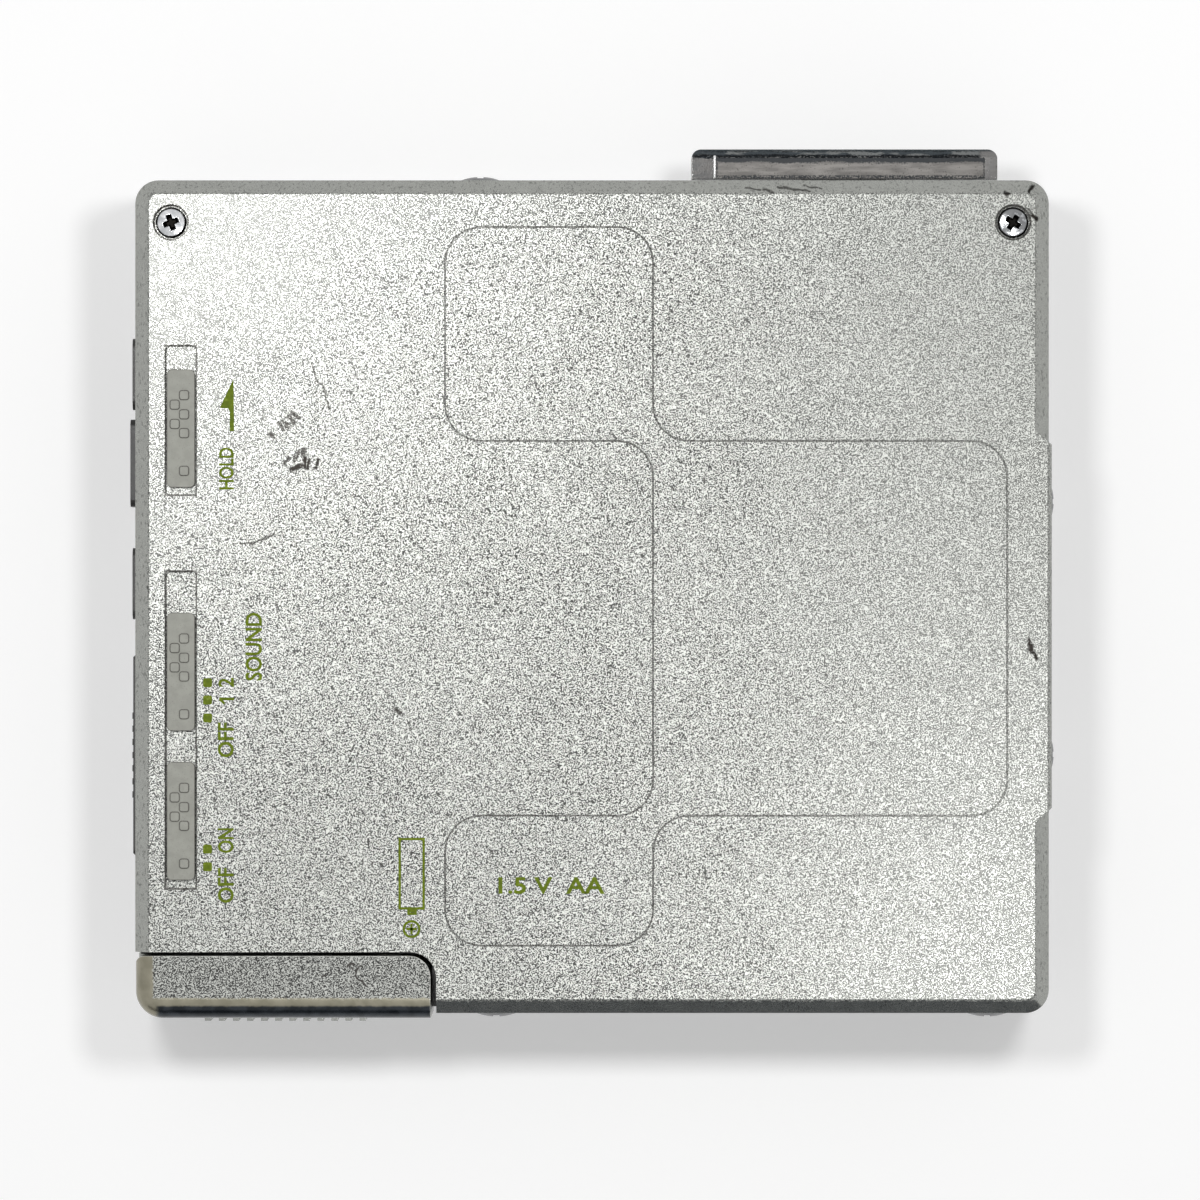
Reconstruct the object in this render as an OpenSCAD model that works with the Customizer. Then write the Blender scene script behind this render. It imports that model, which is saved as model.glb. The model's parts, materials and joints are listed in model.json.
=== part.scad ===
// Portable minidisc player, lying on its lid with the underside up.
// Origin: middle of the lid's outer face. X points to the hinge side, Y to the control bar side,
// Z up through the case to the underside. All lengths are millimetres.

/* [Case] */
// Width of the case, from the latch side to the hinge side
body_w = 86; // [85:0.5:89]
// Depth of the case, from the battery door side to the control bar side
body_d = 78.4; // [78:0.2:81]
// Plan radius of the case corners
corner_r = 2.2; // [1.9:0.1:2.6]
// Wall and plate thickness of the bottom cover
wall = 1.2; // [1.1:0.05:1.3]
// Width of the bevel around the underside
bevel_w = 1.35; // [1:0.05:1.6]
// Height of the bevel around the underside
bevel_h = 1.25; // [0.9:0.05:1.6]
// Wall of the side frame
frame_wall = 1.1; // [0.9:0.05:1.15]
// Open seam between the lid and the side frame
seam = 0.3; // [0.2:0.05:0.4]
// Depth of the engraved outline on the underside
groove_depth = 0.12; // [0.08:0.02:0.2]
// Width of the engraved outline
groove_w = 0.16; // [0.1:0.02:0.3]

/* [Lid] */
// Plate thickness of the lid
lid_t = 1; // [0.9:0.05:1.2]
// Height of the lid's rim above its plate
lid_rim = 1.2; // [1.1:0.05:1.4]
// Wall of the lid's rim
lid_wall = 1; // [0.8:0.05:1.2]
// Radius of the lid's rounded edge
lid_edge = 1.4; // [1:0.1:1.5]

/* [Disc space] */
// Room between a side of the cartridge and the case's outer face
disc_side = 3.2; // [2.8:0.1:4]
// Distance from the front end of the cartridge to the latch side
disc_front = 12.2; // [11.4:0.1:13]
// Thickness of the disc cartridge
disc_t = 5; // [4.8:0.1:5.4]
// Sheet thickness of the disc holder
holder_t = 0.3; // [0.25:0.05:0.35]
// Side play of the cartridge in its holder
disc_play = 0.3; // [0.2:0.05:0.4]
// Height of the leaf springs under the cartridge
spring_lift = 0.4; // [0.36:0.02:0.6]
// Distance from the back end of the cartridge to the hinge side
disc_back = 5.8; // [5.6:0.1:7]

/* [Hinge] */
// Radius of the hinge pins
hinge_pin_r = 0.5; // [0.4:0.05:0.6]
// Outer radius of the hinge knuckles
knuckle_r = 1.15; // [1.05:0.05:1.2]
// Place of the first hinge along Y
hinge_a_y = 9; // [7:0.5:11]
// Place of the second hinge along Y
hinge_b_y = -14.9; // [-17:0.1:-12]

/* [Battery bay] */
// Diameter of the round cell
cell_d = 14.5; // [14:0.1:14.8]
// Length of the round cell
cell_l = 50.5; // [49:0.5:51.5]
// Radial play of the cell in its tube
cell_play = 0.15; // [0.1:0.05:0.2]
// Wall of the battery tube
tube_wall = 0.5; // [0.4:0.05:0.6]
// Width of the battery door
door_w = 27.77; // [27.4:0.1:29]
// Depth of the battery door
door_d = 5.91; // [5.7:0.1:6.3]
// Radius of the battery door's rounded edge
door_edge = 1.8; // [1.2:0.1:2]
// Radius of the battery door's hinge pin
door_pin_r = 0.5; // [0.4:0.05:0.55]

/* [Controls] */
// Width of a slider knob
slider_w = 2.65; // [2.4:0.05:2.8]
// Length of a slider knob
slider_l = 11.1; // [10.6:0.1:11.2]
// Length of a volume key
key_l = 6.8; // [6:0.1:7]
// Height of a volume key
key_h = 2.6; // [2.2:0.1:3]
// Length of the open slider
open_l = 19.5; // [17:0.5:20]
// Length of the control bar
bar_l = 28.95; // [27:0.5:30]
// Height of the control bar
bar_h = 5; // [4.4:0.1:5.6]
// Radius of the headphone socket
jack_r = 1.8; // [1.75:0.05:1.9]
// Length of the headphone socket
jack_l = 12; // [11:0.5:12.4]

/* [Drive] */
// Sheet thickness of the drive chassis
chassis_t = 0.8; // [0.6:0.1:1]
// Radius of the turntable
turntable_r = 7.2; // [6.6:0.1:7.4]
// Radius of the spindle shaft
spindle_r = 0.75; // [0.6:0.05:0.9]
// Distance from the last track to the side of the cartridge
track_edge = 5.2; // [5.2:0.1:7]
// Radius of the main guide shaft
guide_r = 1; // [0.8:0.05:1.1]
// Radius of the lead screw
lead_r = 1.2; // [1:0.05:1.3]
// Gear module of the sled drive
gear_m = 0.25; // [0.22:0.01:0.26]
// Thickness of the circuit boards
board_t = 0.8; // [0.6:0.1:1]

/* [Screws] */
// Head radius of the case screws
case_head_r = 1.45; // [1.3:0.05:1.5]
// Shank radius of the case screws
case_shank_r = 0.6; // [0.5:0.05:0.65]
// Head radius of the side screws
side_head_r = 2.3; // [2:0.05:2.4]
// Head radius of the hinge screws
hinge_head_r = 1.9; // [1.6:0.05:2]
// Shank radius of the side and hinge screws
side_shank_r = 0.65; // [0.5:0.05:0.7]

/* [Hidden] */
$fn = 64;

// How far a cutting shape runs past the face that it opens
cut = 1;
// How far two joined shapes of one piece run into each other
bite = 0.2;
// Play between pieces that slide on each other face to face
slip = 0.05;
// Play of a moving piece in its opening, on each side
play = 0.15;
// Radial play of a shaft or pin that turns
turn_play = 0.03;
// Radial play of a pin or screw that is held fast
hold_play = 0.02;
// Radial room of a screw's shank in a piece that it only passes through
pass_play = 0.1;
// How much deeper a screw's hole is than its thread
hole_spare = 0.4;
// How far an outline that is trimmed afterwards runs past the case
reach = 9;

// Outer and inner faces of the case walls
xr = body_w / 2;
yr = body_d / 2;
xi = xr - wall;
yi = yr - wall;

// Heights, counted up from the lid's outer face
lid_h = lid_t + lid_rim;
holder_floor = lid_t + holder_t;
disc_z0 = holder_floor + spring_lift;
disc_z1 = disc_z0 + disc_t;
holder_top = disc_z1 + slip + holder_t;
frame_z0 = lid_h + seam;
deck_gap = 0.25;
cover_z0 = holder_top + deck_gap;
bay_r = cell_d / 2 + cell_play;
tube_r = bay_r + tube_wall;
tube_gap = 0.1;
bay_z = cover_z0 + tube_gap + tube_r;
plate_z = bay_z + bay_r + tube_gap;
body_h = plate_z + wall;
board_drop = 4.4;
board_z1 = plate_z - board_drop;
board_z0 = board_z1 - board_t;
chassis_lift = 2.1;
chassis_z0 = cover_z0 + chassis_lift;
chassis_z1 = chassis_z0 + chassis_t;
damper_h = 0.8;
post_z0 = chassis_z1 + damper_h;
side_lift = 4.8;
side_z = cover_z0 + side_lift;
screw_drop = 3.8;
screw_z = plate_z - screw_drop;

// Disc cartridge, which the case leaves room for, and its holder in plan
disc_x1 = xr - disc_back;
disc_x0 = -xr + disc_front;
disc_y = yr - disc_side;
holder_y0 = disc_y + disc_play;
holder_y1 = holder_y0 + holder_t;
holder_back = 0.1;
holder_front = 0.2;
holder_x0 = disc_x0 - holder_front;
holder_x1 = disc_x1 + holder_back;
holder_x2 = holder_x1 + holder_t;
holder_lip = 2.2;
lip_front = 3;
hub_half_x = 14;
hub_half_y = 10;
hub_r = 3;
spindle_x = (disc_x0 + disc_x1) / 2;

// Hinge axis and the stretches along it
hinge_in = 0.7;
hinge_up = 0.4;
hinge_x = xr - hinge_in;
hinge_z = frame_z0 + hinge_up;
hinge_ys = [hinge_a_y, hinge_b_y];
leaf_half = 1.2;
ear_gap = play;
ear_w = 1.2;
ear_end = leaf_half + ear_gap + ear_w;
ear_back = 1;
ear_front = 0.6;
ear_foot = lid_edge + 0.1;
knuckle_room = 0.2;
flange_out = 0.24;
flange_x = xr + flange_out;

// Battery door, the notch that it closes and the tube behind it
door_inset = 0.03;
door_in = 5.42;
door_x0 = -xr + door_inset;
door_x1 = door_x0 + door_w;
door_y1 = -yr + door_in;
door_y0 = door_y1 - door_d;
door_z0 = cover_z0 + play;
notch_gap_x = 0.54;
notch_gap_y = 0.35;
notch_x = door_x1 + notch_gap_x;
notch_y = door_y1 + notch_gap_y;
notch_r = 2.45;
bulkhead_t = 1;
bulkhead_r = 0.6;
bay_y0 = notch_y + bulkhead_t;
cell_out = 0.9;
cell_side = 0.4;
bay_y1 = bay_y0 + cell_l - cell_out;
bay_x = door_x1 - cell_side - bay_r;
chamber_r = 5.5;
chamber_l = 4.6;
chamber_y1 = bay_y1 + chamber_l;
tube_end = 0.8;
tube_y1 = chamber_y1 + tube_end;
pin_in_x = 0.97;
pin_in_y = 1.22;
door_pin_x = door_x0 + pin_in_x;
door_pin_y = door_y1 - pin_in_y;
lug_r = 0.95;
lug_half = 1.5;

// Sliders: the middle of each knob at rest, its way, and the two channels
slider_in = 4.34;
slider_x = -xr + slider_in;
channel_depth = 0.8;
channel_gap = 0.12;
channel_w = slider_w + 2 * channel_gap;
channel_r = 0.5;
channel_floor = body_h - channel_depth;
pad_t = 0.8;
pad_rim = 1;
pad_z = plate_z - pad_t;
hold_y = 15.82;
hold_way = 2;
sound_y = -7.06;
sound_way = 3.3;
limiter_y = -21.1;
limiter_way = 1.65;
channels = [[9.55, 23.61], [-27.47, 2.4]];
stem_w = 1;
stem_l = 2.4;
slider_list = [[hold_y, hold_way], [sound_y, sound_way], [limiter_y, limiter_way]];

// Keys and socket on the left wall
key_out = 0.78;
key_way = 0.45;
key_up_y = 21.2;
key_down_y = 1.25;
key_ys = [key_up_y, key_down_y];
key_lip = 0.6;
key_lip_t = 0.6;
key_corner = 0.9;
jack_gap = 0.4;
jack_end = 0.6;
jack_x1 = bay_x - tube_r - jack_gap;
jack_x0 = jack_x1 - jack_end - jack_l;
jack_y0 = 8.55;
jack_y1 = 16.85;
jack_y = 14.4;
jack_corner = 0.7;
jack_half_h = 2.8;
jack_neck_in = 1;
remote_y = 10.6;
remote_half_y = 1;
remote_half_z = 1.7;
remote_deep = 5;

// Open slider with its latch bar, and the catch on the lid
open_y = -15.07;
open_way = 2;
open_half_h = 2.4;
open_corner = 0.8;
open_stem_half = 3;
open_stem_h = 1;
latch_gap = 0.2;
latch_t = 0.7;
latch_half = 9;
latch_over = 0.7;
latch_top = 1.4;
latch_x0 = -xi + latch_gap;
latch_x1 = latch_x0 + latch_t;
tooth_w = 1.9;
tooth_short = 0.5;
tooth_under = 0.8;
tooth_h = 0.8;
tooth_reach = 0.7;
catch_in = 2.8;
catch_w = 3.1;
catch_t = 0.8;
catch_hook = 0.6;
catch_foot = 3.7;
catch_foot_t = 0.5;
catch_lift = 2.6;
catch_x = -xr + catch_in;
catch_y0 = -16.5;
catch_y1 = catch_y0 + catch_w;
catch_z1 = cover_z0 + catch_lift;

// Control bar, carriage and their board
bar_in = 19.1;
bar_lift = 8.2;
bar_gap = 0.3;
bar_t = 2.9;
bar_end_r = 0.9;
bar_chamfer = 0.75;
bar_x = xr - bar_in;
bar_z = cover_z0 + bar_lift;
bar_press = 0.25;
bar_shift = 1.5;
bar_y0 = yr + bar_gap;
bar_y1 = bar_y0 + bar_t;
bar_stem_half = 4;
bar_stem_h = 0.95;
carriage_half = 6.4;
carriage_h = 2.6;
carriage_t = 1.65;
carriage_y1 = yi - play;
carriage_y0 = carriage_y1 - carriage_t;
stem_out = 0.2;
switch_room = 2.2;
control_board_y1 = carriage_y0 - switch_room;
control_board_t = 0.6;
control_board_half = 10;
control_board_top = 3;
push_half = 2;
push_half_h = 1.5;
push_gap = 0.1;
side_push_half = 0.8;
side_push_in = 0.4;

// Drive: boards' and chassis' edges, posts, shafts and gears
deck_gap_x = 0.46;
deck_in_x = 4.2;
deck_in_y = 0.85;
board_in = 0.4;
board_in_y = 0.75;
board_gap = 1;
deck_x0 = notch_x + bulkhead_t + deck_gap_x;
deck_x1 = xr - deck_in_x;
deck_y = yi - deck_in_y;
board_x1 = deck_x1 - board_in;
board_y0 = -deck_y + board_in_y;
board_y1 = control_board_y1 - control_board_t - board_gap;
motor_cup_r = 9;
cup_wall = 0.4;
cup_h = 3.4;
cup_gap = 0.3;
post_thick = 0.9;
shaft_y1 = -motor_cup_r - cup_gap;
window_y1 = shaft_y1 - post_thick;
post_r = 1.8;
post_in_x = 2.6;
post_in_x1 = 2.2;
post_top_in = 2.55;
post_top_in1 = 7.65;
post_low_in = 4.15;
post_window_gap = 3.1;
post_list = [
    [deck_x0 + post_in_x, deck_y - post_top_in], [deck_x1 - post_in_x1, deck_y - post_top_in1],
    [deck_x1 - post_in_x1, -deck_y + post_low_in], [deck_x0 + post_in_x, window_y1 + post_window_gap]
];
guide_in = 4.7;
guide_x = deck_x0 + guide_in;
sub_off = 11.8;
sub_x = spindle_x + sub_off;
sub_r = 0.8;
lead_off = 15.8;
lead_x = spindle_x + lead_off;
shaft_lift = 2.4;
shaft_z = chassis_z1 + shaft_lift;
lead_lift = 3.4;
lead_z = chassis_z1 + lead_lift;
window_guide = 2.7;
window_lead = 1.8;
window_x0 = guide_x - window_guide;
window_x1 = lead_x + window_lead;
sled_half = 4.9;
sled_room = 0.7;
pickup_y = window_y1 - sled_room - sled_half;
pickup_way = disc_y - track_edge + pickup_y;
window_y0 = pickup_y - sled_half - pickup_way - sled_room;
gear_teeth = 24;
pinion_teeth = 12;
pressure = 20;
backlash = 0.06;
gear_gap = 2.5;
gear_w = 1;
gear_y0 = shaft_y1 + gear_gap;
gear_y1 = gear_y0 + gear_w;
pinion_x = lead_x + gear_m * (gear_teeth + pinion_teeth) / 2;
sled_motor_r = 3;
sled_motor_l = 11.5;
motor_gap = 1.3;
sled_motor_y0 = gear_y1 + motor_gap;
sled_motor_y1 = sled_motor_y0 + sled_motor_l;
pinion_shaft_r = 0.4;
pinion_shaft_in = 2;
cradle_half = 2;
cradle_in = 1;

// Side screws: place along X on the upper wall, then on the lower wall
screw_top_in = 2.64;
screw_low_in = 4.15;
screw_end_in = 5.66;
screw_top_xs = [deck_x0 + screw_top_in];
screw_low_xs = [deck_x0 + screw_low_in, xr - screw_end_in];
side_head_h = 0.5;
hinge_head_h = 0.42;
side_thread = 1.4;
hinge_thread = 0.4;
boss_in_x = 3.4;
boss_in_y = 4;
boss_x = xr - boss_in_x;
boss_y = yr - boss_in_y;
boss_r = 1.8;
boss_lift = 0.5;
boss_rib = 0.8;
sink_gap = 0.2;
sink_rim = 0.9;
sink_r = case_head_r + sink_gap;
sink_depth = 0.95;
case_head_h = 0.7;
case_thread = 6;

// Boards: the switch board along the latch wall, and the screws that hold both boards
switch_board_in = 0.5;
switch_board_gap = 0.7;
switch_board_low = 3.93;
switch_board_top = 7;
switch_board_x0 = -xi + switch_board_in;
switch_board_x1 = bay_x - tube_r - switch_board_gap;
switch_board_y0 = notch_y + switch_board_low;
switch_board_y1 = yi - switch_board_top;
standoff_r = 1.3;
board_screw_r = 0.45;
board_head_r = 0.95;
board_head_h = 0.5;
board_thread = 3;
standoff_in = 9;
standoff_low = 11;
standoff_near = 7;
standoff_end = 2.2;
standoff_list = [
    [deck_x0 + standoff_near, board_y1 - standoff_in], [board_x1 - standoff_in, board_y1 - standoff_in],
    [board_x1 - standoff_in, board_y0 + standoff_low], [deck_x0 + standoff_near, board_y0 + standoff_low],
    [switch_board_x1 - standoff_end, switch_board_y1 - standoff_end],
    [switch_board_x1 - standoff_end, switch_board_y0 + standoff_end]
];
holder_screw_in = 7;
holder_screw_side = 6;
holder_thread = 0.6;
holder_hole = 0.7;
holder_head_r = 1.1;
holder_screw_list = [
    for (x = [disc_x0 + holder_screw_in, disc_x1 - holder_screw_in],
        y = [-disc_y + holder_screw_side, disc_y - holder_screw_side]) [x, y]
];

// Box between two corners
module box(x0, x1, y0, y1, z0, z1) {
    translate([x0, y0, z0]) cube([x1 - x0, y1 - y0, z1 - z0]);
}

// Round rods along the three axes
module rod_x(y, z, x0, x1, r) {
    translate([x0, y, z]) rotate([0, 90, 0]) cylinder(h = x1 - x0, r = r);
}
module rod_y(x, z, y0, y1, r) {
    translate([x, y0, z]) rotate([-90, 0, 0]) cylinder(h = y1 - y0, r = r);
}
module rod_z(x, y, z0, z1, r) {
    translate([x, y, z0]) cylinder(h = z1 - z0, r = r);
}

// Rectangle in plan with rounded corners
module plan_round(x0, x1, y0, y1, r) {
    translate([x0 + r, y0]) square([x1 - x0 - 2 * r, y1 - y0]);
    translate([x0, y0 + r]) square([x1 - x0, y1 - y0 - 2 * r]);
    for (x = [x0 + r, x1 - r], y = [y0 + r, y1 - r]) translate([x, y]) circle(r);
}

// Slab of that plan between two heights
module slab(x0, x1, y0, y1, r, z0, z1) {
    translate([0, 0, z0]) linear_extrude(z1 - z0) plan_round(x0, x1, y0, y1, r);
}

// Outline in the XZ plane, drawn out along Y
module drawn_y(y0, y1) {
    translate([0, y1, 0]) rotate([90, 0, 0]) linear_extrude(y1 - y0) children();
}

// Outline in the YZ plane, drawn out along X
module drawn_x(x0, x1) {
    translate([x0, 0, 0]) rotate([90, 0, 90]) linear_extrude(x1 - x0) children();
}

// Bar along X whose outline in the YZ plane has rounded corners
module pad_x(x0, x1, y0, y1, z0, z1, r) {
    drawn_x(x0, x1) plan_round(y0, y1, z0, z1, r);
}

// Side profile whose upper corners are cut by a bevel
module bevel_profile(a0, a1, z0, z1, w, h) {
    polygon([[a0, z0], [a1, z0], [a1, z1 - h], [a1 - w, z1], [a0 + w, z1], [a0, z1 - h]]);
}

// Block with rounded plan corners and a bevel around its top
module bevelled_block(x0, x1, y0, y1, z0, z1, r, w, h) {
    for (x = [x0 + r, x1 - r], y = [y0 + r, y1 - r]) {
        rod_z(x, y, z0, z1 - h, r);
        translate([x, y, z1 - h]) cylinder(h = h, r1 = r, r2 = r - w);
    }
    drawn_x(x0 + r, x1 - r) bevel_profile(y0, y1, z0, z1, w, h);
    drawn_y(y0 + r, y1 - r) bevel_profile(x0, x1, z0, z1, w, h);
}

// Side profile whose upper corners are rounded
module soft_profile(a0, a1, z0, z1, f) {
    intersection() {
        translate([a0, z0]) square([a1 - a0, z1 - z0]);
        union() {
            translate([a0, z0]) square([a1 - a0, z1 - z0 - f]);
            translate([a0 + f, z0]) square([a1 - a0 - 2 * f, z1 - z0]);
            for (a = [a0 + f, a1 - f]) translate([a, z1 - f]) circle(f);
        }
    }
}

// Block with rounded plan corners and a rounded edge around its top
module soft_block(x0, x1, y0, y1, z0, z1, r, f) {
    for (x = [x0 + r, x1 - r], y = [y0 + r, y1 - r])
        translate([x, y, 0]) rotate_extrude() intersection() {
            soft_profile(-r, r, z0, z1, f);
            translate([0, z0]) square([r, z1 - z0]);
        }
    drawn_x(x0 + r, x1 - r) soft_profile(y0, y1, z0, z1, f);
    drawn_y(y0 + r, y1 - r) soft_profile(x0, x1, z0, z1, f);
}

// Cross recess in the top of a screw head
module cross_recess(x, y, z_top, head_r, head_h) {
    slot_l = head_r * 1.2;
    slot_w = head_r * 0.26;
    for (a = [0, 90])
        translate([x, y, z_top]) rotate([0, 0, a])
            cube([slot_l, slot_w, head_h], center = true);
}

// Screw along Z with its head up
module cross_screw(x, y, z_seat, z_tip, head_r, head_h, shank_r) difference() {
    union() {
        rod_z(x, y, z_seat, z_seat + head_h, head_r);
        rod_z(x, y, z_tip, z_seat + bite, shank_r);
    }
    cross_recess(x, y, z_seat + head_h, head_r, head_h);
}

// Screw for a side wall, lying with its low domed head towards +X at the origin
module wall_screw(head_r, head_h, length) rotate([0, 90, 0]) difference() {
    dome_r = (head_r * head_r + head_h * head_h) / (2 * head_h);
    union() {
        intersection() {
            translate([0, 0, head_h - dome_r]) sphere(dome_r);
            rod_z(0, 0, 0, head_h + cut, head_r + cut);
        }
        rod_z(0, 0, -length, bite, side_shank_r);
    }
    cross_recess(0, 0, head_h, head_r, head_h);
}

// Angle that an involute has turned at a given pressure angle, in degrees
function involute(a) = tan(a) * 180 / PI - a;

// Half the angle that a tooth spans at radius r
function tooth_half(teeth, r) =
    let (pitch_r = gear_m * teeth / 2, base_r = pitch_r * cos(pressure))
    90 / teeth - backlash / 4 / pitch_r * 180 / PI + involute(pressure)
    - (r > base_r ? involute(acos(base_r / r)) : 0);

// Gear outline with stub teeth, one of them pointing along +X
module gear_plan(teeth) {
    pitch_r = gear_m * teeth / 2;
    root_r = pitch_r - gear_m;
    tip_r = pitch_r + 0.8 * gear_m;
    steps = 4;
    radii = [for (i = [0:steps]) root_r + (tip_r - root_r) * i / steps];
    polygon([
        for (t = [0:teeth - 1], side = [-1, 1], i = [0:steps])
            let (r = side < 0 ? radii[i] : radii[steps - i],
                a = t * 360 / teeth + side * tooth_half(teeth, r))
            [r * cos(a), r * sin(a)]
    ]);
}

// Coil of round wire: ring i of n, with its middle on the helix
coil_turns = 3.5;
coil_rings = 12;
coil_sides = 6;
coil_wire_r = 0.3;
coil_wide = 4;
coil_narrow = 2.6;
coil_clear = 0.3;
coil_y0 = bay_y1 + coil_wire_r + coil_clear;
coil_y1 = chamber_y1 - coil_wire_r;
coil_count = coil_turns * coil_rings;
function coil_point(i) =
    let (s = i / coil_count, a = 360 * i / coil_rings, r = coil_wide + (coil_narrow - coil_wide) * s)
    [bay_x + r * cos(a), coil_y1 + (coil_y0 - coil_y1) * s, bay_z + r * sin(a)];
function unit(v) = v / norm(v);
function coil_ring(i) =
    let (
        p = coil_point(i),
        along = unit(coil_point(i + 1) - coil_point(i - 1)),
        out = unit(cross(along, [0, 1, 0])),
        up = cross(out, along)
    )
    [for (k = [0:coil_sides - 1])
        let (a = 360 * k / coil_sides) p + coil_wire_r * (cos(a) * out + sin(a) * up)];
coil_gap = min([
    for (i = [0:coil_count], j = [i + coil_rings / 2:1:coil_count]) norm(coil_point(i) - coil_point(j))
]) - 2 * coil_wire_r;

// Outline of the three linked panels on the underside, grown by g
panel_r = 3.4;
panel_gap = 0.86;
panel_step = 19.55;
panel_right_in = 3.96;
panel_low_in = 6.4;
panel_low_step = 18.62;
panel_top_step = 24.55;
panel_top_in = 4.45;
panel_x0 = notch_x + panel_gap;
panel_x = [panel_x0, panel_x0 + panel_step, xr - panel_right_in];
panel_y = [-yr + panel_low_in, -yr + panel_low_step, yr - panel_top_step, yr - panel_top_in];
module linked_panels(g) {
    plan_round(panel_x[0] - g, panel_x[1] + g, panel_y[2] - g, panel_y[3] + g, panel_r + g);
    plan_round(panel_x[1] - g, panel_x[2] + g, panel_y[1] - g, panel_y[2] + g, panel_r + g);
    plan_round(panel_x[0] - g, panel_x[1] + g, panel_y[0] - g, panel_y[1] + g, panel_r + g);
    for (neck = [[panel_y[2], 1], [panel_y[1], -1]])
        translate([panel_x[1], neck[0]]) difference() {
            square(2 * panel_r, center = true);
            translate([panel_r, neck[1] * panel_r]) circle(panel_r - g);
            translate([-panel_r, -neck[1] * panel_r]) circle(panel_r - g);
        }
}

// Lid: a shallow aluminium tray with a rounded edge and two pairs of hinge ears
module lid() color("lightgray") difference() {
    union() {
        difference() {
            translate([0, 0, lid_h]) mirror([0, 0, 1])
                soft_block(-xr, xr, -yr, yr, 0, lid_h, corner_r, lid_edge);
            slab(-xr + lid_wall, xr - lid_wall, -yr + lid_wall, yr - lid_wall, corner_r - lid_wall,
                lid_t, lid_h + cut);
        }
        for (y = hinge_ys, side = [-1, 1]) {
            ear_y = y + side * (leaf_half + ear_gap + ear_w / 2);
            rod_y(hinge_x, hinge_z, ear_y - ear_w / 2, ear_y + ear_w / 2, knuckle_r);
            box(hinge_x - ear_back, hinge_x + ear_front, ear_y - ear_w / 2, ear_y + ear_w / 2,
                ear_foot, hinge_z);
        }
    }
    for (y = hinge_ys) {
        rod_y(hinge_x, hinge_z, y - leaf_half - ear_gap, y + leaf_half + ear_gap, knuckle_r + play);
        rod_y(hinge_x, hinge_z, y - ear_end - cut, y + ear_end + cut, hinge_pin_r + hold_play);
    }
    for (p = holder_screw_list) rod_z(p.x, p.y, lid_t - holder_hole, lid_t + cut, board_screw_r + hold_play);
}

// Disc holder: folded steel sheet on the lid, open towards the latch side
module disc_holder() color("gainsboro") difference() {
    union() {
        box(holder_x0, holder_x2, -holder_y1, holder_y1, lid_t, holder_floor);
        for (side = [-1, 1]) {
            wall_y = side * (holder_y0 + holder_t / 2);
            box(holder_x0, holder_x2, wall_y - holder_t / 2, wall_y + holder_t / 2, lid_t, holder_top);
            lip_y = side * (holder_y1 - holder_lip / 2);
            box(disc_x0 + lip_front, holder_x2, lip_y - holder_lip / 2, lip_y + holder_lip / 2,
                holder_top - holder_t, holder_top);
        }
        box(holder_x1, holder_x2, -holder_y1, holder_y1, lid_t, holder_top);
    }
    for (p = holder_screw_list) rod_z(p.x, p.y, 0, holder_floor + cut, board_screw_r + pass_play);
    slab(spindle_x - hub_half_x, spindle_x + hub_half_x, -hub_half_y, hub_half_y, hub_r,
        0, holder_floor + cut);
}

// Leaf springs that press the cartridge against the holder's lips
leaf_t = 0.16;
leaf_l = 14;
leaf_w = 4;
leaf_foot = 2.8;
leaf_top = 8.4;
leaf_side = 13.7;
leaf_crest = spring_lift - slip;
module disc_springs() color("goldenrod") for (y = [-disc_y + leaf_side, disc_y - leaf_side])
    translate([spindle_x - leaf_l / 2, 0, holder_floor]) drawn_y(y - leaf_w / 2, y + leaf_w / 2)
        polygon([
            [0, 0], [leaf_foot, 0], [leaf_top, leaf_crest - leaf_t], [leaf_l, 0],
            [leaf_l, leaf_t], [leaf_top, leaf_crest], [leaf_foot, leaf_t], [0, leaf_t]
        ]);

// Four small screws that hold the disc holder to the lid
module holder_screws() color("dimgray") for (p = holder_screw_list)
    cross_screw(p.x, p.y, holder_floor, lid_t - holder_thread,
        holder_head_r, spring_lift - slip, board_screw_r);

// Catch: a steel hook on the lid, beside the latch bar's tooth
module lid_catch() color("silver") {
    box(catch_x - bite, catch_x + catch_foot, catch_y0, catch_y1, lid_t, lid_t + catch_foot_t);
    box(catch_x, catch_x + catch_t, catch_y0, catch_y1, lid_t, catch_z1);
    box(catch_x - catch_t, catch_x + bite, catch_y0, catch_y1, catch_z1 - catch_hook, catch_z1);
}

// Two steel pins on the hinge axis, held in the lid's ears
module hinge_pins() color("gray") for (y = hinge_ys)
    rod_y(hinge_x, hinge_z, y - ear_end, y + ear_end, hinge_pin_r);

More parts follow.
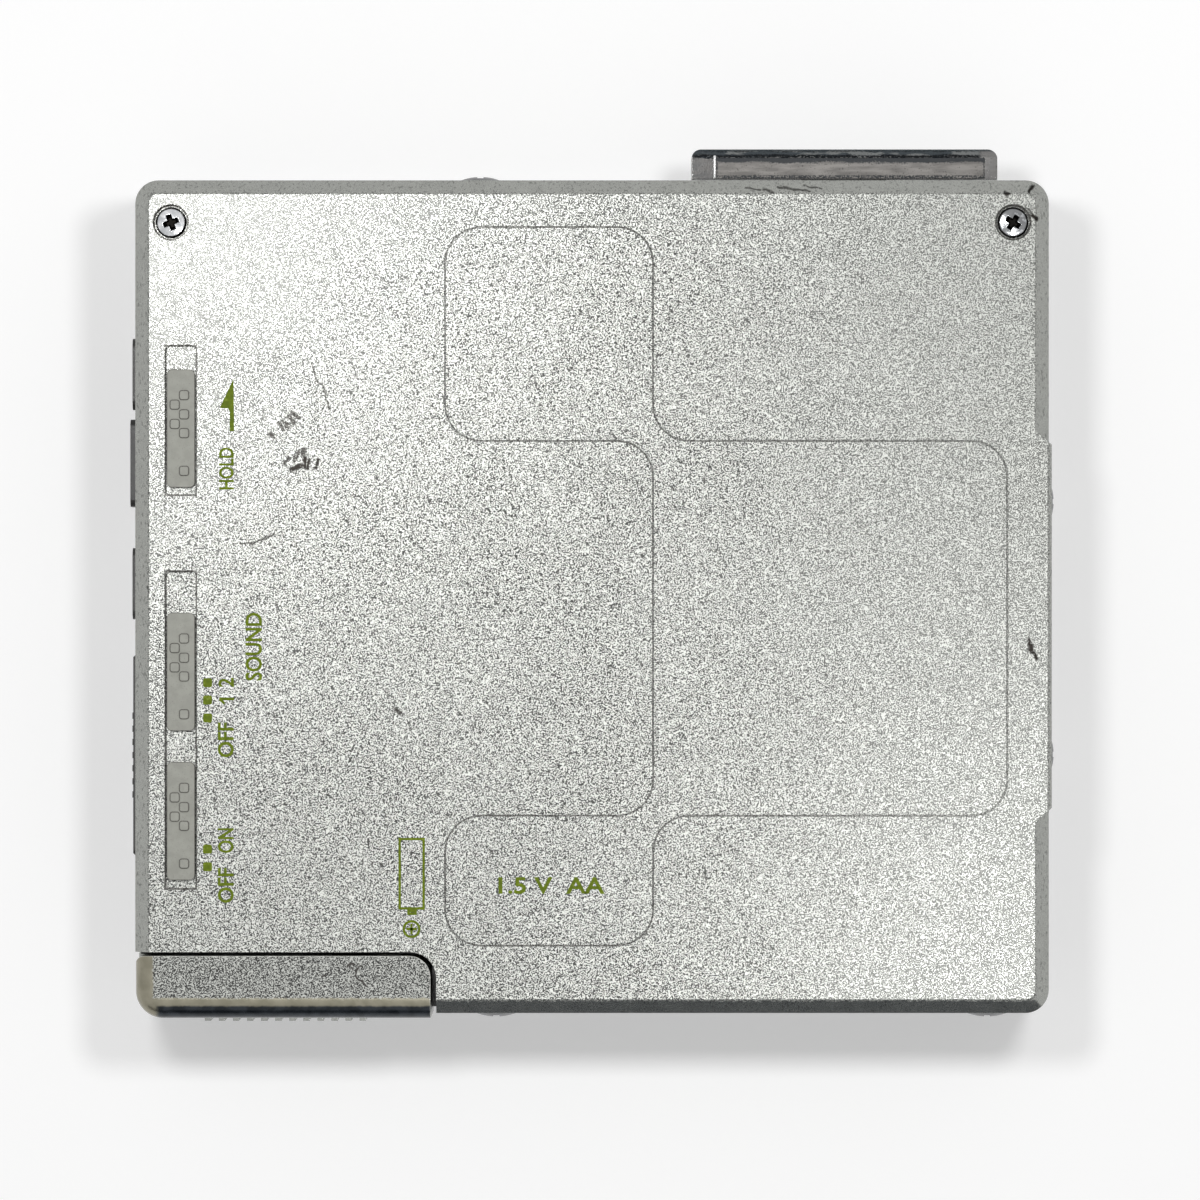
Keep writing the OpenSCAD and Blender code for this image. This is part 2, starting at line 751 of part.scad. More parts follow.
// Side frame: the ring between lid and cover, with the two screw bosses
frame_slant = 0.9;
module side_frame() color("darkgray") difference() {
    union() {
        difference() {
            slab(-xr, xr, -yr, yr, corner_r, frame_z0, cover_z0);
            slab(-xr + frame_wall, xr - frame_wall, -yr + frame_wall, yr - frame_wall,
                corner_r - frame_wall, frame_z0 - cut, cover_z0 + cut);
            drawn_y(-yr - cut, yr + cut) polygon([
                [xr - frame_slant, frame_z0], [xr, frame_z0 + frame_slant],
                [xr + cut, frame_z0 + frame_slant],
                [xr + cut, frame_z0 - cut], [xr - frame_slant, frame_z0 - cut]
            ]);
        }
        for (side = [-1, 1]) {
            rod_z(side * boss_x, boss_y, frame_z0 + boss_lift, pad_z, boss_r);
            rib_x = side * (boss_x + xr - frame_wall + bite) / 2;
            rib_half = (xr - frame_wall + bite - boss_x) / 2;
            box(rib_x - rib_half, rib_x + rib_half, boss_y - boss_rib, boss_y + boss_rib,
                frame_z0 + boss_lift, cover_z0);
        }
    }
    for (side = [-1, 1])
        rod_z(side * boss_x, boss_y, pad_z - case_thread - hole_spare, pad_z + cut, case_shank_r + hold_play);
    for (y = hinge_ys) {
        rod_y(hinge_x, hinge_z, y - ear_end - play, y + ear_end + play, knuckle_r + knuckle_room);
        box(hinge_x - knuckle_r - knuckle_room, xr + cut, y - ear_end - play, y + ear_end + play,
            frame_z0 - cut, hinge_z);
    }
}

// Raised flange along the hinge side, with slanted ends
flange_y0 = -21.05;
flange_y1 = 15.5;
flange_edge = 0.4;
module hinge_flange() intersection() {
    translate([0, 0, cover_z0]) linear_extrude(body_h - cover_z0) polygon([
        [xi - bite, flange_y0 - bite], [xi - bite, flange_y1 + bite],
        [flange_x, flange_y1 - wall], [flange_x, flange_y0 + wall]
    ]);
    drawn_y(flange_y0 - cut, flange_y1 + cut) polygon([
        [xi - cut, cover_z0], [flange_x, cover_z0], [flange_x, body_h - flange_edge],
        [flange_x - flange_edge, body_h], [xi - cut, body_h]
    ]);
}

// Openings in the side walls for socket, keys, open slider, control bar and screws
module wall_openings() {
    pad_x(-xr - cut, -xi + cut, jack_y0 - play, jack_y1 + play,
        side_z - jack_half_h - play, side_z + jack_half_h + play, jack_corner + play);
    for (y = key_ys)
        pad_x(-xr - cut, -xi + cut, y - key_l / 2 - play, y + key_l / 2 + play,
            side_z - key_h / 2 - play, side_z + key_h / 2 + play, key_corner + play);
    box(-xr - cut, -xi + cut, open_y - open_stem_half - open_way - play, open_y + open_stem_half + play,
        side_z - open_stem_h - play, side_z + open_stem_h + play);
    box(bar_x - bar_stem_half - bar_shift - play, bar_x + bar_stem_half + bar_shift + play,
        yi - cut, yr + cut, bar_z - bar_stem_h - play, bar_z + bar_stem_h + play);
    for (x = screw_top_xs) rod_y(x, screw_z, yi - cut, yr + cut, side_shank_r + pass_play);
    for (x = screw_low_xs) rod_y(x, screw_z, -yr - cut, -yi + cut, side_shank_r + pass_play);
    for (y = hinge_ys) rod_x(y, screw_z, xi - cut, flange_x + cut, side_shank_r + pass_play);
}

// Corner of the case that the battery door fills, grown by g
module door_corner(g, r = notch_r) {
    plan_round(-xr - reach, notch_x + g, -yr - reach, notch_y + g, r + g);
}

// Bottom cover: the painted shell whose plate is the player's underside
module bottom_cover() color("silver") difference() {
    union() {
        difference() {
            union() {
                bevelled_block(-xr, xr, -yr, yr, cover_z0, body_h, corner_r, bevel_w, bevel_h);
                hinge_flange();
            }
            slab(-xi, xi, -yi, yi, corner_r - wall, cover_z0 - cut, plate_z);
            translate([0, 0, cover_z0 - cut]) linear_extrude(body_h - cover_z0 + 2 * cut) door_corner(0);
        }
        rod_z(door_pin_x, door_pin_y, bay_z - lug_half, bay_z + lug_half, lug_r);
        box(door_pin_x - lug_r, door_pin_x + lug_r, door_pin_y, notch_y, bay_z - lug_half, bay_z + lug_half);
        box(door_pin_x - lug_r, -xi, notch_y - bite, notch_y + bite, bay_z - lug_half, bay_z + lug_half);
        for (c = channels)
            box(slider_x - channel_w / 2 - pad_rim, slider_x + channel_w / 2 + pad_rim,
                c[0] - pad_rim, c[1] + pad_rim, pad_z, plate_z + bite);
        for (side = [-1, 1]) rod_z(side * boss_x, boss_y, pad_z, plate_z + bite, sink_r + sink_rim);
        for (p = post_list) rod_z(p.x, p.y, post_z0, plate_z + bite, post_r);
        for (p = standoff_list) rod_z(p.x, p.y, board_z1, plate_z + bite, standoff_r);
    }
    rod_z(door_pin_x, door_pin_y, bay_z - lug_half - cut, bay_z + lug_half + cut, door_pin_r + hold_play);
    for (c = channels)
        slab(slider_x - channel_w / 2, slider_x + channel_w / 2, c[0], c[1], channel_r,
            channel_floor, body_h + cut);
    for (s = slider_list)
        box(slider_x - stem_w / 2 - play, slider_x + stem_w / 2 + play, s[0] - stem_l / 2 - play,
            s[0] + s[1] + stem_l / 2 + play, pad_z - cut, channel_floor + cut);
    for (side = [-1, 1]) {
        rod_z(side * boss_x, boss_y, body_h - sink_depth, body_h + cut, sink_r);
        rod_z(side * boss_x, boss_y, pad_z - cut, body_h, case_shank_r + pass_play);
    }
    for (p = post_list)
        rod_z(p.x, p.y, post_z0 - cut, post_z0 + chassis_thread + hole_spare, board_screw_r + hold_play);
    for (p = standoff_list)
        rod_z(p.x, p.y, board_z1 - cut, board_z1 + board_thread + hole_spare, board_screw_r + hold_play);
    wall_openings();
    translate([0, 0, body_h - groove_depth]) linear_extrude(groove_depth + cut) difference() {
        linked_panels(groove_w / 2);
        linked_panels(-groove_w / 2);
    }
}

// Two zinc screws through the cover into the frame's bosses
module case_screws() color("lightsteelblue") for (side = [-1, 1])
    cross_screw(side * boss_x, boss_y, body_h - sink_depth, pad_z - case_thread,
        case_head_r, case_head_h, case_shank_r);

// Three small screws through the side walls into the chassis tabs
module side_screws() color("lightsteelblue") {
    for (x = screw_top_xs)
        translate([x, yr, screw_z]) rotate([0, 0, 90])
            wall_screw(side_head_r, side_head_h, wall + side_thread);
    for (x = screw_low_xs)
        translate([x, -yr, screw_z]) rotate([0, 0, -90])
            wall_screw(side_head_r, side_head_h, wall + side_thread);
}

// Hinge bracket: steel plate inside the hinge wall with a knuckle at each hinge
bracket_x1 = xi - slip;
bracket_t = 0.75;
bracket_end = 4;
bracket_lift = 1.7;
bracket_drop = 1.2;
module hinge_bracket() color("slategray") difference() {
    union() {
        box(bracket_x1 - bracket_t, bracket_x1, hinge_b_y - bracket_end, hinge_a_y + bracket_end,
            cover_z0 + bracket_lift, plate_z - bracket_drop);
        for (y = hinge_ys) {
            box(bracket_x1 - bracket_t, bracket_x1, y - leaf_half, y + leaf_half,
                hinge_z, cover_z0 + bracket_lift + bite);
            rod_y(hinge_x, hinge_z, y - leaf_half, y + leaf_half, knuckle_r);
        }
    }
    for (y = hinge_ys) {
        rod_y(hinge_x, hinge_z, y - leaf_half - cut, y + leaf_half + cut, hinge_pin_r + turn_play);
        rod_x(y, screw_z, bracket_x1 - bracket_t - cut, bracket_x1 + cut, side_shank_r + hold_play);
    }
}

// Two screws through the flange into the hinge bracket
module hinge_screws() color("lightsteelblue") for (y = hinge_ys)
    translate([flange_x, y, screw_z])
        wall_screw(hinge_head_r, hinge_head_h, flange_x - bracket_x1 + bracket_t + hinge_thread);

// Open slider: knob outside the latch wall, with finger ribs and a stem
open_face = 0.65;
open_gap = 0.1;
rib_count = 7;
rib_pitch = 1.25;
rib_w = 0.6;
rib_out = 0.1;
rib_in = 0.4;
end_cut = 0.6;
module open_slider() color("gray") {
    face_x = -xr - open_face;
    difference() {
        pad_x(face_x, -xr - open_gap, open_y - open_l / 2, open_y + open_l / 2,
            side_z - open_half_h, side_z + open_half_h, open_corner);
        for (end = [-1, 1])
            translate([face_x, open_y + end * open_l / 2, side_z]) rotate([0, 0, 45])
                cube([end_cut, end_cut, 3 * open_half_h], center = true);
    }
    for (i = [0:rib_count - 1]) {
        y = open_y + (i - (rib_count - 1) / 2) * rib_pitch;
        box(face_x - rib_out, face_x + bite, y - rib_w / 2, y + rib_w / 2,
            side_z - open_half_h + rib_in, side_z + open_half_h - rib_in);
    }
    box(-xr - open_gap - bite, latch_x0, open_y - open_stem_half, open_y + open_stem_half,
        side_z - open_stem_h, side_z + open_stem_h);
}

// Latch bar: steel strip behind the wall, moved by the open slider, with a tooth beside the catch
module latch_bar() color("slategray") {
    tooth_y1 = catch_y0 - tooth_short;
    tooth_y0 = tooth_y1 - tooth_w;
    tooth_z1 = catch_z1 - tooth_under;
    bar_z0 = catch_z1 + latch_over;
    box(latch_x0, latch_x1, open_y - latch_half, open_y + latch_half, bar_z0, side_z + latch_top);
    box(latch_x0, latch_x1, tooth_y0, tooth_y1, tooth_z1 - tooth_h, bar_z0 + bite);
    box(latch_x0, latch_x1 + tooth_reach, tooth_y0, tooth_y1, tooth_z1 - tooth_h, tooth_z1);
}

// Battery door: a rounded moulding that closes the corner, hinged at the latch side
door_shell = 1.1;
door_corner_r = 2.6;
door_inner_r = 2;
door_blend = 4;
door_rib_count = 12;
door_rib_pitch = 1.33;
door_rib_w = 0.6;
door_rib_out = 0.4;
door_rib_half = 4;
door_rib_off = 6;
pin_cap = 1.7;
pin_wall = 1.4;
lug_room_x = 1.1;
lug_room_y = 1.3;
lug_room_z = 0.2;
module battery_door() color("silver") {
    difference() {
        intersection() {
            soft_block(door_x0, door_x1 + reach, door_y0, door_y1 + reach, door_z0, body_h,
                door_corner_r, door_edge);
            translate([0, 0, door_z0]) linear_extrude(body_h - door_z0) {
                plan_round(door_x0 + door_blend, door_x1, door_y0 - reach, door_y1, door_inner_r);
                plan_round(door_x0 - slip, door_x1 - door_blend, door_y0 - reach, door_y1, lug_r);
            }
        }
        box(door_pin_x + pin_wall, door_x1 - door_shell, door_y0 + door_shell, door_y1 + cut,
            door_z0 + door_shell, body_h - door_shell);
        rod_z(door_pin_x, door_pin_y, door_z0 - cut, body_h - pin_cap, door_pin_r + turn_play);
        box(door_x0 - cut, door_pin_x + lug_room_x, door_pin_y - lug_room_y, door_y1 + cut,
            bay_z - lug_half - lug_room_z, bay_z + lug_half + lug_room_z);
    }
    for (i = [0:door_rib_count - 1]) {
        x = bay_x - door_rib_off + (i - (door_rib_count - 1) / 2) * door_rib_pitch;
        box(x - door_rib_w / 2, x + door_rib_w / 2, door_y0 - door_rib_out, door_y0 + bite,
            bay_z - door_rib_half, bay_z + door_rib_half);
    }
}

// Pin that the battery door turns on, held in the cover's lug
pin_foot = 0.75;
module battery_door_pin() color("gray")
    rod_z(door_pin_x, door_pin_y, door_z0 + pin_foot, body_h - pin_cap - pass_play, door_pin_r);

// Positive contact: a bent strip inside the door that meets the cell's nub
strip_t = 0.3;
strip_half_w = 2.5;
strip_room = 0.7;
strip_top = 1.6;
strip_short = 0.2;
module positive_contact() color("gold") {
    back_y = door_y0 + door_shell;
    half = door_x1 - door_shell - strip_room - bay_x;
    crest = door_y1 - back_y - strip_short;
    translate([bay_x, back_y, bay_z - strip_half_w]) linear_extrude(2 * strip_half_w) polygon([
        [-half, 0], [half, 0], [half, strip_t], [-half + strip_top, strip_t],
        [-strip_top, crest - strip_t], [strip_top, crest - strip_t],
        [half - strip_top, crest / 2], [half - strip_top + strip_t, crest / 2],
        [strip_top, crest], [-strip_top, crest], [-half + strip_top - 2 * strip_t, strip_t], [-half, strip_t]
    ]);
}

// Battery tube: a thin moulded trough under the plate with a round bore for the cell,
// and at its mouth the bulkhead that closes the case behind the door
tube_window = 2.4;
window_end = 3;
module battery_tube() color("dimgray") difference() {
    union() {
        rod_y(bay_x, bay_z, bay_y0 - bite, tube_y1, tube_r);
        box(bay_x - tube_r, bay_x + tube_r, bay_y0 - bite, tube_y1, bay_z, plate_z);
        translate([0, 0, cover_z0]) linear_extrude(plate_z - cover_z0) intersection() {
            difference() {
                door_corner(bulkhead_t, bulkhead_r);
                door_corner(0, bulkhead_r);
            }
            translate([-xi + slip, -yi + slip]) square([body_w, body_d]);
        }
    }
    box(bay_x - tube_r - cut, bay_x + tube_r + cut, bay_y0 - 2 * cut, tube_y1 + cut,
        plate_z, plate_z + 2 * cut);
    rod_y(bay_x, bay_z, notch_y - cut, bay_y1, bay_r);
    rod_y(bay_x, bay_z, bay_y0, chamber_y1, chamber_r);
    box(bay_x - tube_window, bay_x + tube_window, bay_y0 + window_end, bay_y1 - window_end,
        bay_z + chamber_r, plate_z + cut);
}

// Negative spring: a conical coil seated in the end of the battery tube
module negative_spring() color("gold") {
    echo(least_gap_of_spring_turns = coil_gap);
    points = [for (i = [0:coil_count]) each coil_ring(i)];
    first_cap = len(points);
    side_faces = [
        for (i = [0:coil_count - 1], k = [0:coil_sides - 1])
            let (a = i * coil_sides + k, b = i * coil_sides + (k + 1) % coil_sides)
            each [[a, b, a + coil_sides], [b, b + coil_sides, a + coil_sides]]
    ];
    start_cap = [for (k = [0:coil_sides - 1]) [first_cap, (k + 1) % coil_sides, k]];
    last = coil_count * coil_sides;
    end_cap = [for (k = [0:coil_sides - 1]) [first_cap + 1, last + k, last + (k + 1) % coil_sides]];
    polyhedron(
        concat(points, [coil_point(0), coil_point(coil_count)]), concat(side_faces, start_cap, end_cap)
    );
}

// Headphone and remote socket, hung under the switch board
module headphone_jack() color("black") difference() {
    union() {
        pad_x(jack_x0, jack_x1, jack_y0, jack_y1, side_z - jack_half_h, side_z + jack_half_h, jack_corner);
        box(-xi + jack_neck_in, jack_x1 - jack_neck_in, jack_y0 + jack_neck_in, jack_y1 - jack_neck_in,
            side_z, board_z0);
    }
    rod_x(jack_y, side_z, jack_x0 - cut, jack_x0 + jack_l, jack_r);
    box(jack_x0 - cut, jack_x0 + remote_deep, remote_y - remote_half_y, remote_y + remote_half_y,
        side_z - remote_half_z, side_z + remote_half_z);
}

// Volume key: cap in the latch wall with a lip behind it
module volume_key(y) color("gray") {
    lip_x = -xi + slip;
    pad_x(-xr - key_out, lip_x + bite, y - key_l / 2, y + key_l / 2,
        side_z - key_h / 2, side_z + key_h / 2, key_corner);
    box(lip_x, lip_x + key_lip_t, y - key_l / 2 - key_lip, y + key_l / 2 + key_lip,
        side_z - key_h / 2 - key_lip, side_z + key_h / 2 + key_lip);
}
module volume_up_key() volume_key(key_up_y);
module volume_down_key() volume_key(key_down_y);

// Push switches behind the volume keys, hung under the switch board
volume_push_l = 0.5;
volume_push_r = 0.8;
volume_body_l = 1.8;
volume_body_half = 2.2;
volume_body_low = 1.4;
module volume_switches() color("lightgray") for (y = key_ys) {
    push_x = -xi + slip + key_lip_t + key_way + push_gap;
    body_x = push_x + volume_push_l;
    box(body_x, body_x + volume_body_l, y - volume_body_half, y + volume_body_half,
        side_z - volume_body_low, board_z0);
    rod_x(y, side_z, push_x, body_x + bite, volume_push_r);
}

// Slider: a knob with raised squares, a stem through the channel floor and a clip foot
knob_drop = 0.1;
square_side = 0.87;
square_h = 0.14;
square_r = 0.22;
square_list = [[0.31, 3.13], [-0.57, 2.23], [0.31, 1.32], [-0.57, 0.42], [0.31, -0.44], [0.31, -3.99]];
clip_w = 2.4;
clip_l = 4.4;
clip_t = 0.4;
clip_gap = 0.1;
switch_h = 2.2;
module slider(y) color("rosybrown") {
    knob_z0 = channel_floor + slip;
    knob_z1 = body_h - knob_drop;
    slab(slider_x - slider_w / 2, slider_x + slider_w / 2, y - slider_l / 2, y + slider_l / 2, channel_r,
        knob_z0, knob_z1);
    for (p = square_list)
        slab(slider_x + p.x - square_side / 2, slider_x + p.x + square_side / 2, y + p.y - square_side / 2,
            y + p.y + square_side / 2, square_r, knob_z1 - bite, knob_z1 + square_h);
    box(slider_x - stem_w / 2, slider_x + stem_w / 2, y - stem_l / 2, y + stem_l / 2,
        board_z1 + switch_h + play, knob_z0 + bite);
    box(slider_x - clip_w / 2, slider_x + clip_w / 2, y - clip_l / 2, y + clip_l / 2,
        pad_z - clip_gap - clip_t, pad_z - clip_gap);
}
module hold_slider() slider(hold_y);
module sound_slider() slider(sound_y);
module limiter_slider() slider(limiter_y);

// Slide switches on the switch board, one under each slider
switch_half_w = 1.6;
switch_half_l = 4.5;
module slide_switches() color("silver") for (s = slider_list) {
    y = s[0] + s[1] / 2;
    box(slider_x - switch_half_w, slider_x + switch_half_w, y - switch_half_l, y + switch_half_l,
        board_z1, board_z1 + switch_h);
}

// Switch board along the latch wall
module switch_board() color("darkgreen") difference() {
    box(switch_board_x0, switch_board_x1, switch_board_y0, switch_board_y1, board_z0, board_z1);
    for (p = [standoff_list[4], standoff_list[5]])
        rod_z(p.x, p.y, board_z0 - cut, board_z1 + cut, board_screw_r + pass_play);
}

// Control bar: a bright bar outside the wall that is pushed in or shifted sideways
module control_bar() color("gainsboro") {
    x0 = bar_x - bar_l / 2;
    x1 = bar_x + bar_l / 2;
    z0 = bar_z - bar_h / 2;
    z1 = bar_z + bar_h / 2;
    intersection() {
        slab(x0, x1, bar_y0 - bar_end_r, bar_y1, bar_end_r, z0, z1);
        drawn_x(x0, x1) polygon([
            [bar_y0, z0], [bar_y1 - bar_chamfer, z0], [bar_y1, z0 + bar_chamfer],
            [bar_y1, z1 - bar_chamfer], [bar_y1 - bar_chamfer, z1], [bar_y0, z1]
        ]);
    }
    box(bar_x - bar_stem_half, bar_x + bar_stem_half, carriage_y0 - stem_out, bar_y0 + bite,
        bar_z - bar_stem_h, bar_z + bar_stem_h);
}

// Carriage that guides the control bar behind the wall
module control_carriage() color("dimgray") difference() {
    box(bar_x - carriage_half, bar_x + carriage_half, carriage_y0, carriage_y1,
        bar_z - carriage_h, bar_z + carriage_h);
    box(bar_x - bar_stem_half - slip, bar_x + bar_stem_half + slip, carriage_y0 - cut, carriage_y1 + cut,
        bar_z - bar_stem_h - slip, bar_z + bar_stem_h + slip);
}

// Small upright board behind the carriage, standing on the chassis
module control_board() color("darkgreen")
    box(bar_x - control_board_half, bar_x + control_board_half, control_board_y1 - control_board_t,
        control_board_y1, chassis_z1, bar_z + control_board_top);

// Switches on that board: one behind the bar, one beside each end of the carriage
module control_switches() color("silver") {
    box(bar_x - push_half, bar_x + push_half, control_board_y1,
        carriage_y0 - stem_out - bar_press - push_gap, bar_z - push_half_h, bar_z + push_half_h);
    for (side = [-1, 1]) {
        x = bar_x + side * (carriage_half + bar_shift + play + side_push_half);
        box(x - side_push_half, x + side_push_half, control_board_y1, carriage_y1 - side_push_in,
            bar_z - push_half_h, bar_z + push_half_h);
    }
}

// Main board over the drive, hung from the cover's standoffs
post_room = 0.3;
module main_board() color("darkgreen") difference() {
    box(deck_x0, board_x1, board_y0, board_y1, board_z0, board_z1);
    for (p = post_list) rod_z(p.x, p.y, board_z0 - cut, board_z1 + cut, post_r + post_room);
    for (i = [0:3]) let (p = standoff_list[i])
        rod_z(p.x, p.y, board_z0 - cut, board_z1 + cut, board_screw_r + pass_play);
}

// Chips and other parts soldered to the main board: place from the spindle, width, depth and height
chip_list = [
    [4, 6, 9, 9, 1.4], [18, 10, 11, 11, 1.4], [6, -14, 12, 8, 1.2], [22, -8, 8, 6, 1.2], [-4, -4, 5, 6, 1],
    [12, -28, 14, 7, 2.2], [1, -30, 6, 4, 1.6]
];
module board_chips() color("black") for (c = chip_list)
    box(spindle_x + c[0] - c[2] / 2, spindle_x + c[0] + c[2] / 2, c[1] - c[3] / 2, c[1] + c[3] / 2,
        board_z1, board_z1 + c[4]);

// Screws that hold both boards to the standoffs
module board_screws() color("dimgray") for (p = standoff_list)
    mirror([0, 0, 1])
        cross_screw(p.x, p.y, -board_z0, -board_z1 - board_thread, board_head_r, board_head_h, board_screw_r);

// Drive chassis: steel plate with shaft posts, motor cradle and side tabs
tab_half = 1.45;
tab_top = 1.6;
corner_cut_x = 1.6;
corner_cut_y = 2.4;
shaft_post_half = 1.5;
hub_room = 0.4;
module chassis_post(x, z, y0) {
    box(x - shaft_post_half, x + shaft_post_half, y0, y0 + post_thick,
        chassis_z1 - bite, z + shaft_post_half);
}
module chassis_tab(x, side) {
    tab_y = side * (deck_y + (deck_in_y - slip - bite) / 2);
    tab_t = (deck_in_y - slip + bite) / 2;
    difference() {
        box(x - tab_half, x + tab_half, tab_y - tab_t, tab_y + tab_t, chassis_z0, screw_z + tab_top);
        rod_y(x, screw_z, tab_y - tab_t - cut, tab_y + tab_t + cut, side_shank_r + hold_play);
    }
}
module drive_chassis() color("lightslategray") difference() {
    union() {
        difference() {
            box(deck_x0, deck_x1, -deck_y, deck_y, chassis_z0, chassis_z1);
            box(deck_x1 - corner_cut_x, deck_x1 + cut, boss_y - corner_cut_y, deck_y + cut,
                chassis_z0 - cut, chassis_z1 + cut);
            box(window_x0, window_x1, window_y0, window_y1, chassis_z0 - cut, chassis_z1 + cut);
            rod_z(spindle_x, 0, chassis_z0 - cut, chassis_z1 + cut, turntable_r + hub_room);
        }
        for (y0 = [window_y1, -deck_y]) {
            for (x = [guide_x, sub_x]) chassis_post(x, shaft_z, y0);
            chassis_post(lead_x, lead_z, y0);
        }
        box(pinion_x - cradle_half, pinion_x + cradle_half,
            sled_motor_y0 + cradle_in, sled_motor_y1 - cradle_in,
            chassis_z1 - bite, lead_z);
        for (x = screw_top_xs) chassis_tab(x, 1);
        for (x = screw_low_xs) chassis_tab(x, -1);
    }
    rod_y(guide_x, shaft_z, -deck_y - cut, shaft_y1 + cut, guide_r + hold_play);
    rod_y(sub_x, shaft_z, -deck_y - cut, shaft_y1 + cut, sub_r + hold_play);
    rod_y(lead_x, lead_z, -deck_y - cut, shaft_y1 + cut, lead_r + turn_play);
    rod_y(pinion_x, lead_z, sled_motor_y0, sled_motor_y1, sled_motor_r + hold_play);
    for (p = post_list) rod_z(p.x, p.y, chassis_z0 - cut, chassis_z1 + cut, board_screw_r + post_room);
}

// Rubber dampers between the chassis and the cover's posts
module chassis_dampers() color("black") for (p = post_list) difference() {
    rod_z(p.x, p.y, chassis_z1, post_z0, post_r);
    rod_z(p.x, p.y, chassis_z1 - cut, post_z0 + cut, board_screw_r + post_room);
}

// Screws that hang the chassis on the posts
chassis_head_r = 1.4;
chassis_head_h = 0.6;
chassis_thread = 4.6;
module chassis_screws() color("dimgray") for (p = post_list)
    mirror([0, 0, 1]) cross_screw(p.x, p.y, -chassis_z0, -post_z0 - chassis_thread,
        chassis_head_r, chassis_head_h, board_screw_r);

// Spindle motor: steel cup on the chassis with a bearing sleeve in its middle
cup_z1 = chassis_z1 + cup_h;
sleeve_wall = 1;
sleeve_lift = 0.9;
module motor_cup() color("silver") difference() {
    union() {
        difference() {
            rod_z(spindle_x, 0, chassis_z1, cup_z1, motor_cup_r);
            rod_z(spindle_x, 0, chassis_z1 - cut, cup_z1 - cup_wall, motor_cup_r - cup_wall);
        }
        rod_z(spindle_x, 0, chassis_z1 + sleeve_lift, cup_z1 - bite, spindle_r + sleeve_wall);
    }
    rod_z(spindle_x, 0, chassis_z1 - cut, cup_z1 + cut, spindle_r + turn_play);
}

// Motor coils around the sleeve
coil_count_motor = 6;
coil_ring_r = 4.2;
motor_coil_r = 1.3;
motor_coil_lift = 1;
module motor_coils() color("peru") for (i = [0:coil_count_motor - 1]) {
    a = 360 * i / coil_count_motor;
    rod_z(spindle_x + coil_ring_r * cos(a), coil_ring_r * sin(a), chassis_z1 + motor_coil_lift,
        cup_z1 - cup_wall, motor_coil_r);
}

// Turntable: platform under the disc hub, shaft, and the bell that carries the magnet
bell_gap = 0.2;
bell_t = 0.5;
bell_room = 0.4;
bell_z0 = chassis_z1 + bell_gap;
bell_z1 = bell_z0 + bell_t;
bell_r = motor_cup_r - cup_wall - bell_room;
table_gap = 0.2;
table_t = 1;
table_dish = 0.4;
table_rim = 2;
neck_r = 3;
table_z0 = holder_top + table_gap;
module turntable() color("lightgray") {
    difference() {
        rod_z(spindle_x, 0, table_z0, table_z0 + table_t, turntable_r);
        rod_z(spindle_x, 0, table_z0 - cut, table_z0 + table_dish, turntable_r - table_rim);
    }
    rod_z(spindle_x, 0, table_z0 + table_t - bite, bell_z0 + bite, neck_r);
    rod_z(spindle_x, 0, bell_z0, bell_z1, bell_r);
    rod_z(spindle_x, 0, bell_z1 - bite, cup_z1 - bell_gap, spindle_r);
}

// Ring magnet inside the bell
magnet_h = 1.5;
magnet_t = 1.8;
module rotor_magnet() color("dimgray") difference() {
    rod_z(spindle_x, 0, bell_z1, bell_z1 + magnet_h, bell_r);
    rod_z(spindle_x, 0, bell_z1 - cut, bell_z1 + magnet_h + cut, bell_r - magnet_t);
}

// Pickup sled: die-cast block on the two guide shafts, with a half nut on the lead screw
sled_in = 2.5;
sled_off = 8.3;
sled_under = 0.4;
sled_over = 1.6;
arm_out = 1.8;
arm_half = 1.5;
sub_arm_out = 1.2;
nut_out = 0.8;
nut_half = 1;
nut_under = 0.4;
fork_in = 0.6;
fork_out = 0.2;
sled_x0 = guide_x + sled_in;
sled_x1 = spindle_x + sled_off;
sled_z0 = chassis_z0 - sled_under;
sled_z1 = shaft_z + sled_over;
module pickup_sled() color("darkgray") difference() {
    union() {
        box(sled_x0, sled_x1, pickup_y - sled_half, pickup_y + sled_half, sled_z0, sled_z1);
        box(guide_x - arm_out, sled_x0 + bite, pickup_y - sled_half, pickup_y + sled_half,
            shaft_z - sled_over, sled_z1);
        box(sled_x1 - bite, sub_x + sub_arm_out, pickup_y - arm_half, pickup_y + arm_half,
            shaft_z - sled_over, sled_z1);
        box(sub_x + sub_arm_out - bite, lead_x + nut_out, pickup_y - nut_half, pickup_y + nut_half,
            shaft_z - nut_under, sled_z1);
    }
    rod_y(guide_x, shaft_z, pickup_y - sled_half - cut, pickup_y + sled_half + cut, guide_r + turn_play);
    box(sub_x - sub_r - fork_in, sub_x + sub_r + fork_out,
        pickup_y - arm_half - cut, pickup_y + arm_half + cut,
        shaft_z - sub_r - slip, shaft_z + sub_r + slip);
    rod_y(lead_x, lead_z, pickup_y - arm_half - cut, pickup_y + arm_half + cut, lead_r + slip);
}

// Lens actuator: the sprung frame under the sled that carries the lens
lens_off = 0.2;
lens_r = 1.6;
lens_room = 0.1;
lens_out = 0.3;
lens_t = 0.9;
actuator_half_x = 3.2;
actuator_half_y = 3.6;
actuator_t = 0.9;
lens_x = spindle_x - lens_off;
actuator_z0 = sled_z0 - actuator_t;
lens_z0 = actuator_z0 - lens_out;
module lens_actuator() color("black") difference() {
    box(lens_x - actuator_half_x, lens_x + actuator_half_x, pickup_y - actuator_half_y,
        pickup_y + actuator_half_y, actuator_z0, sled_z0);
    rod_z(lens_x, pickup_y, actuator_z0 - cut, lens_z0 + lens_t, lens_r + lens_room);
}

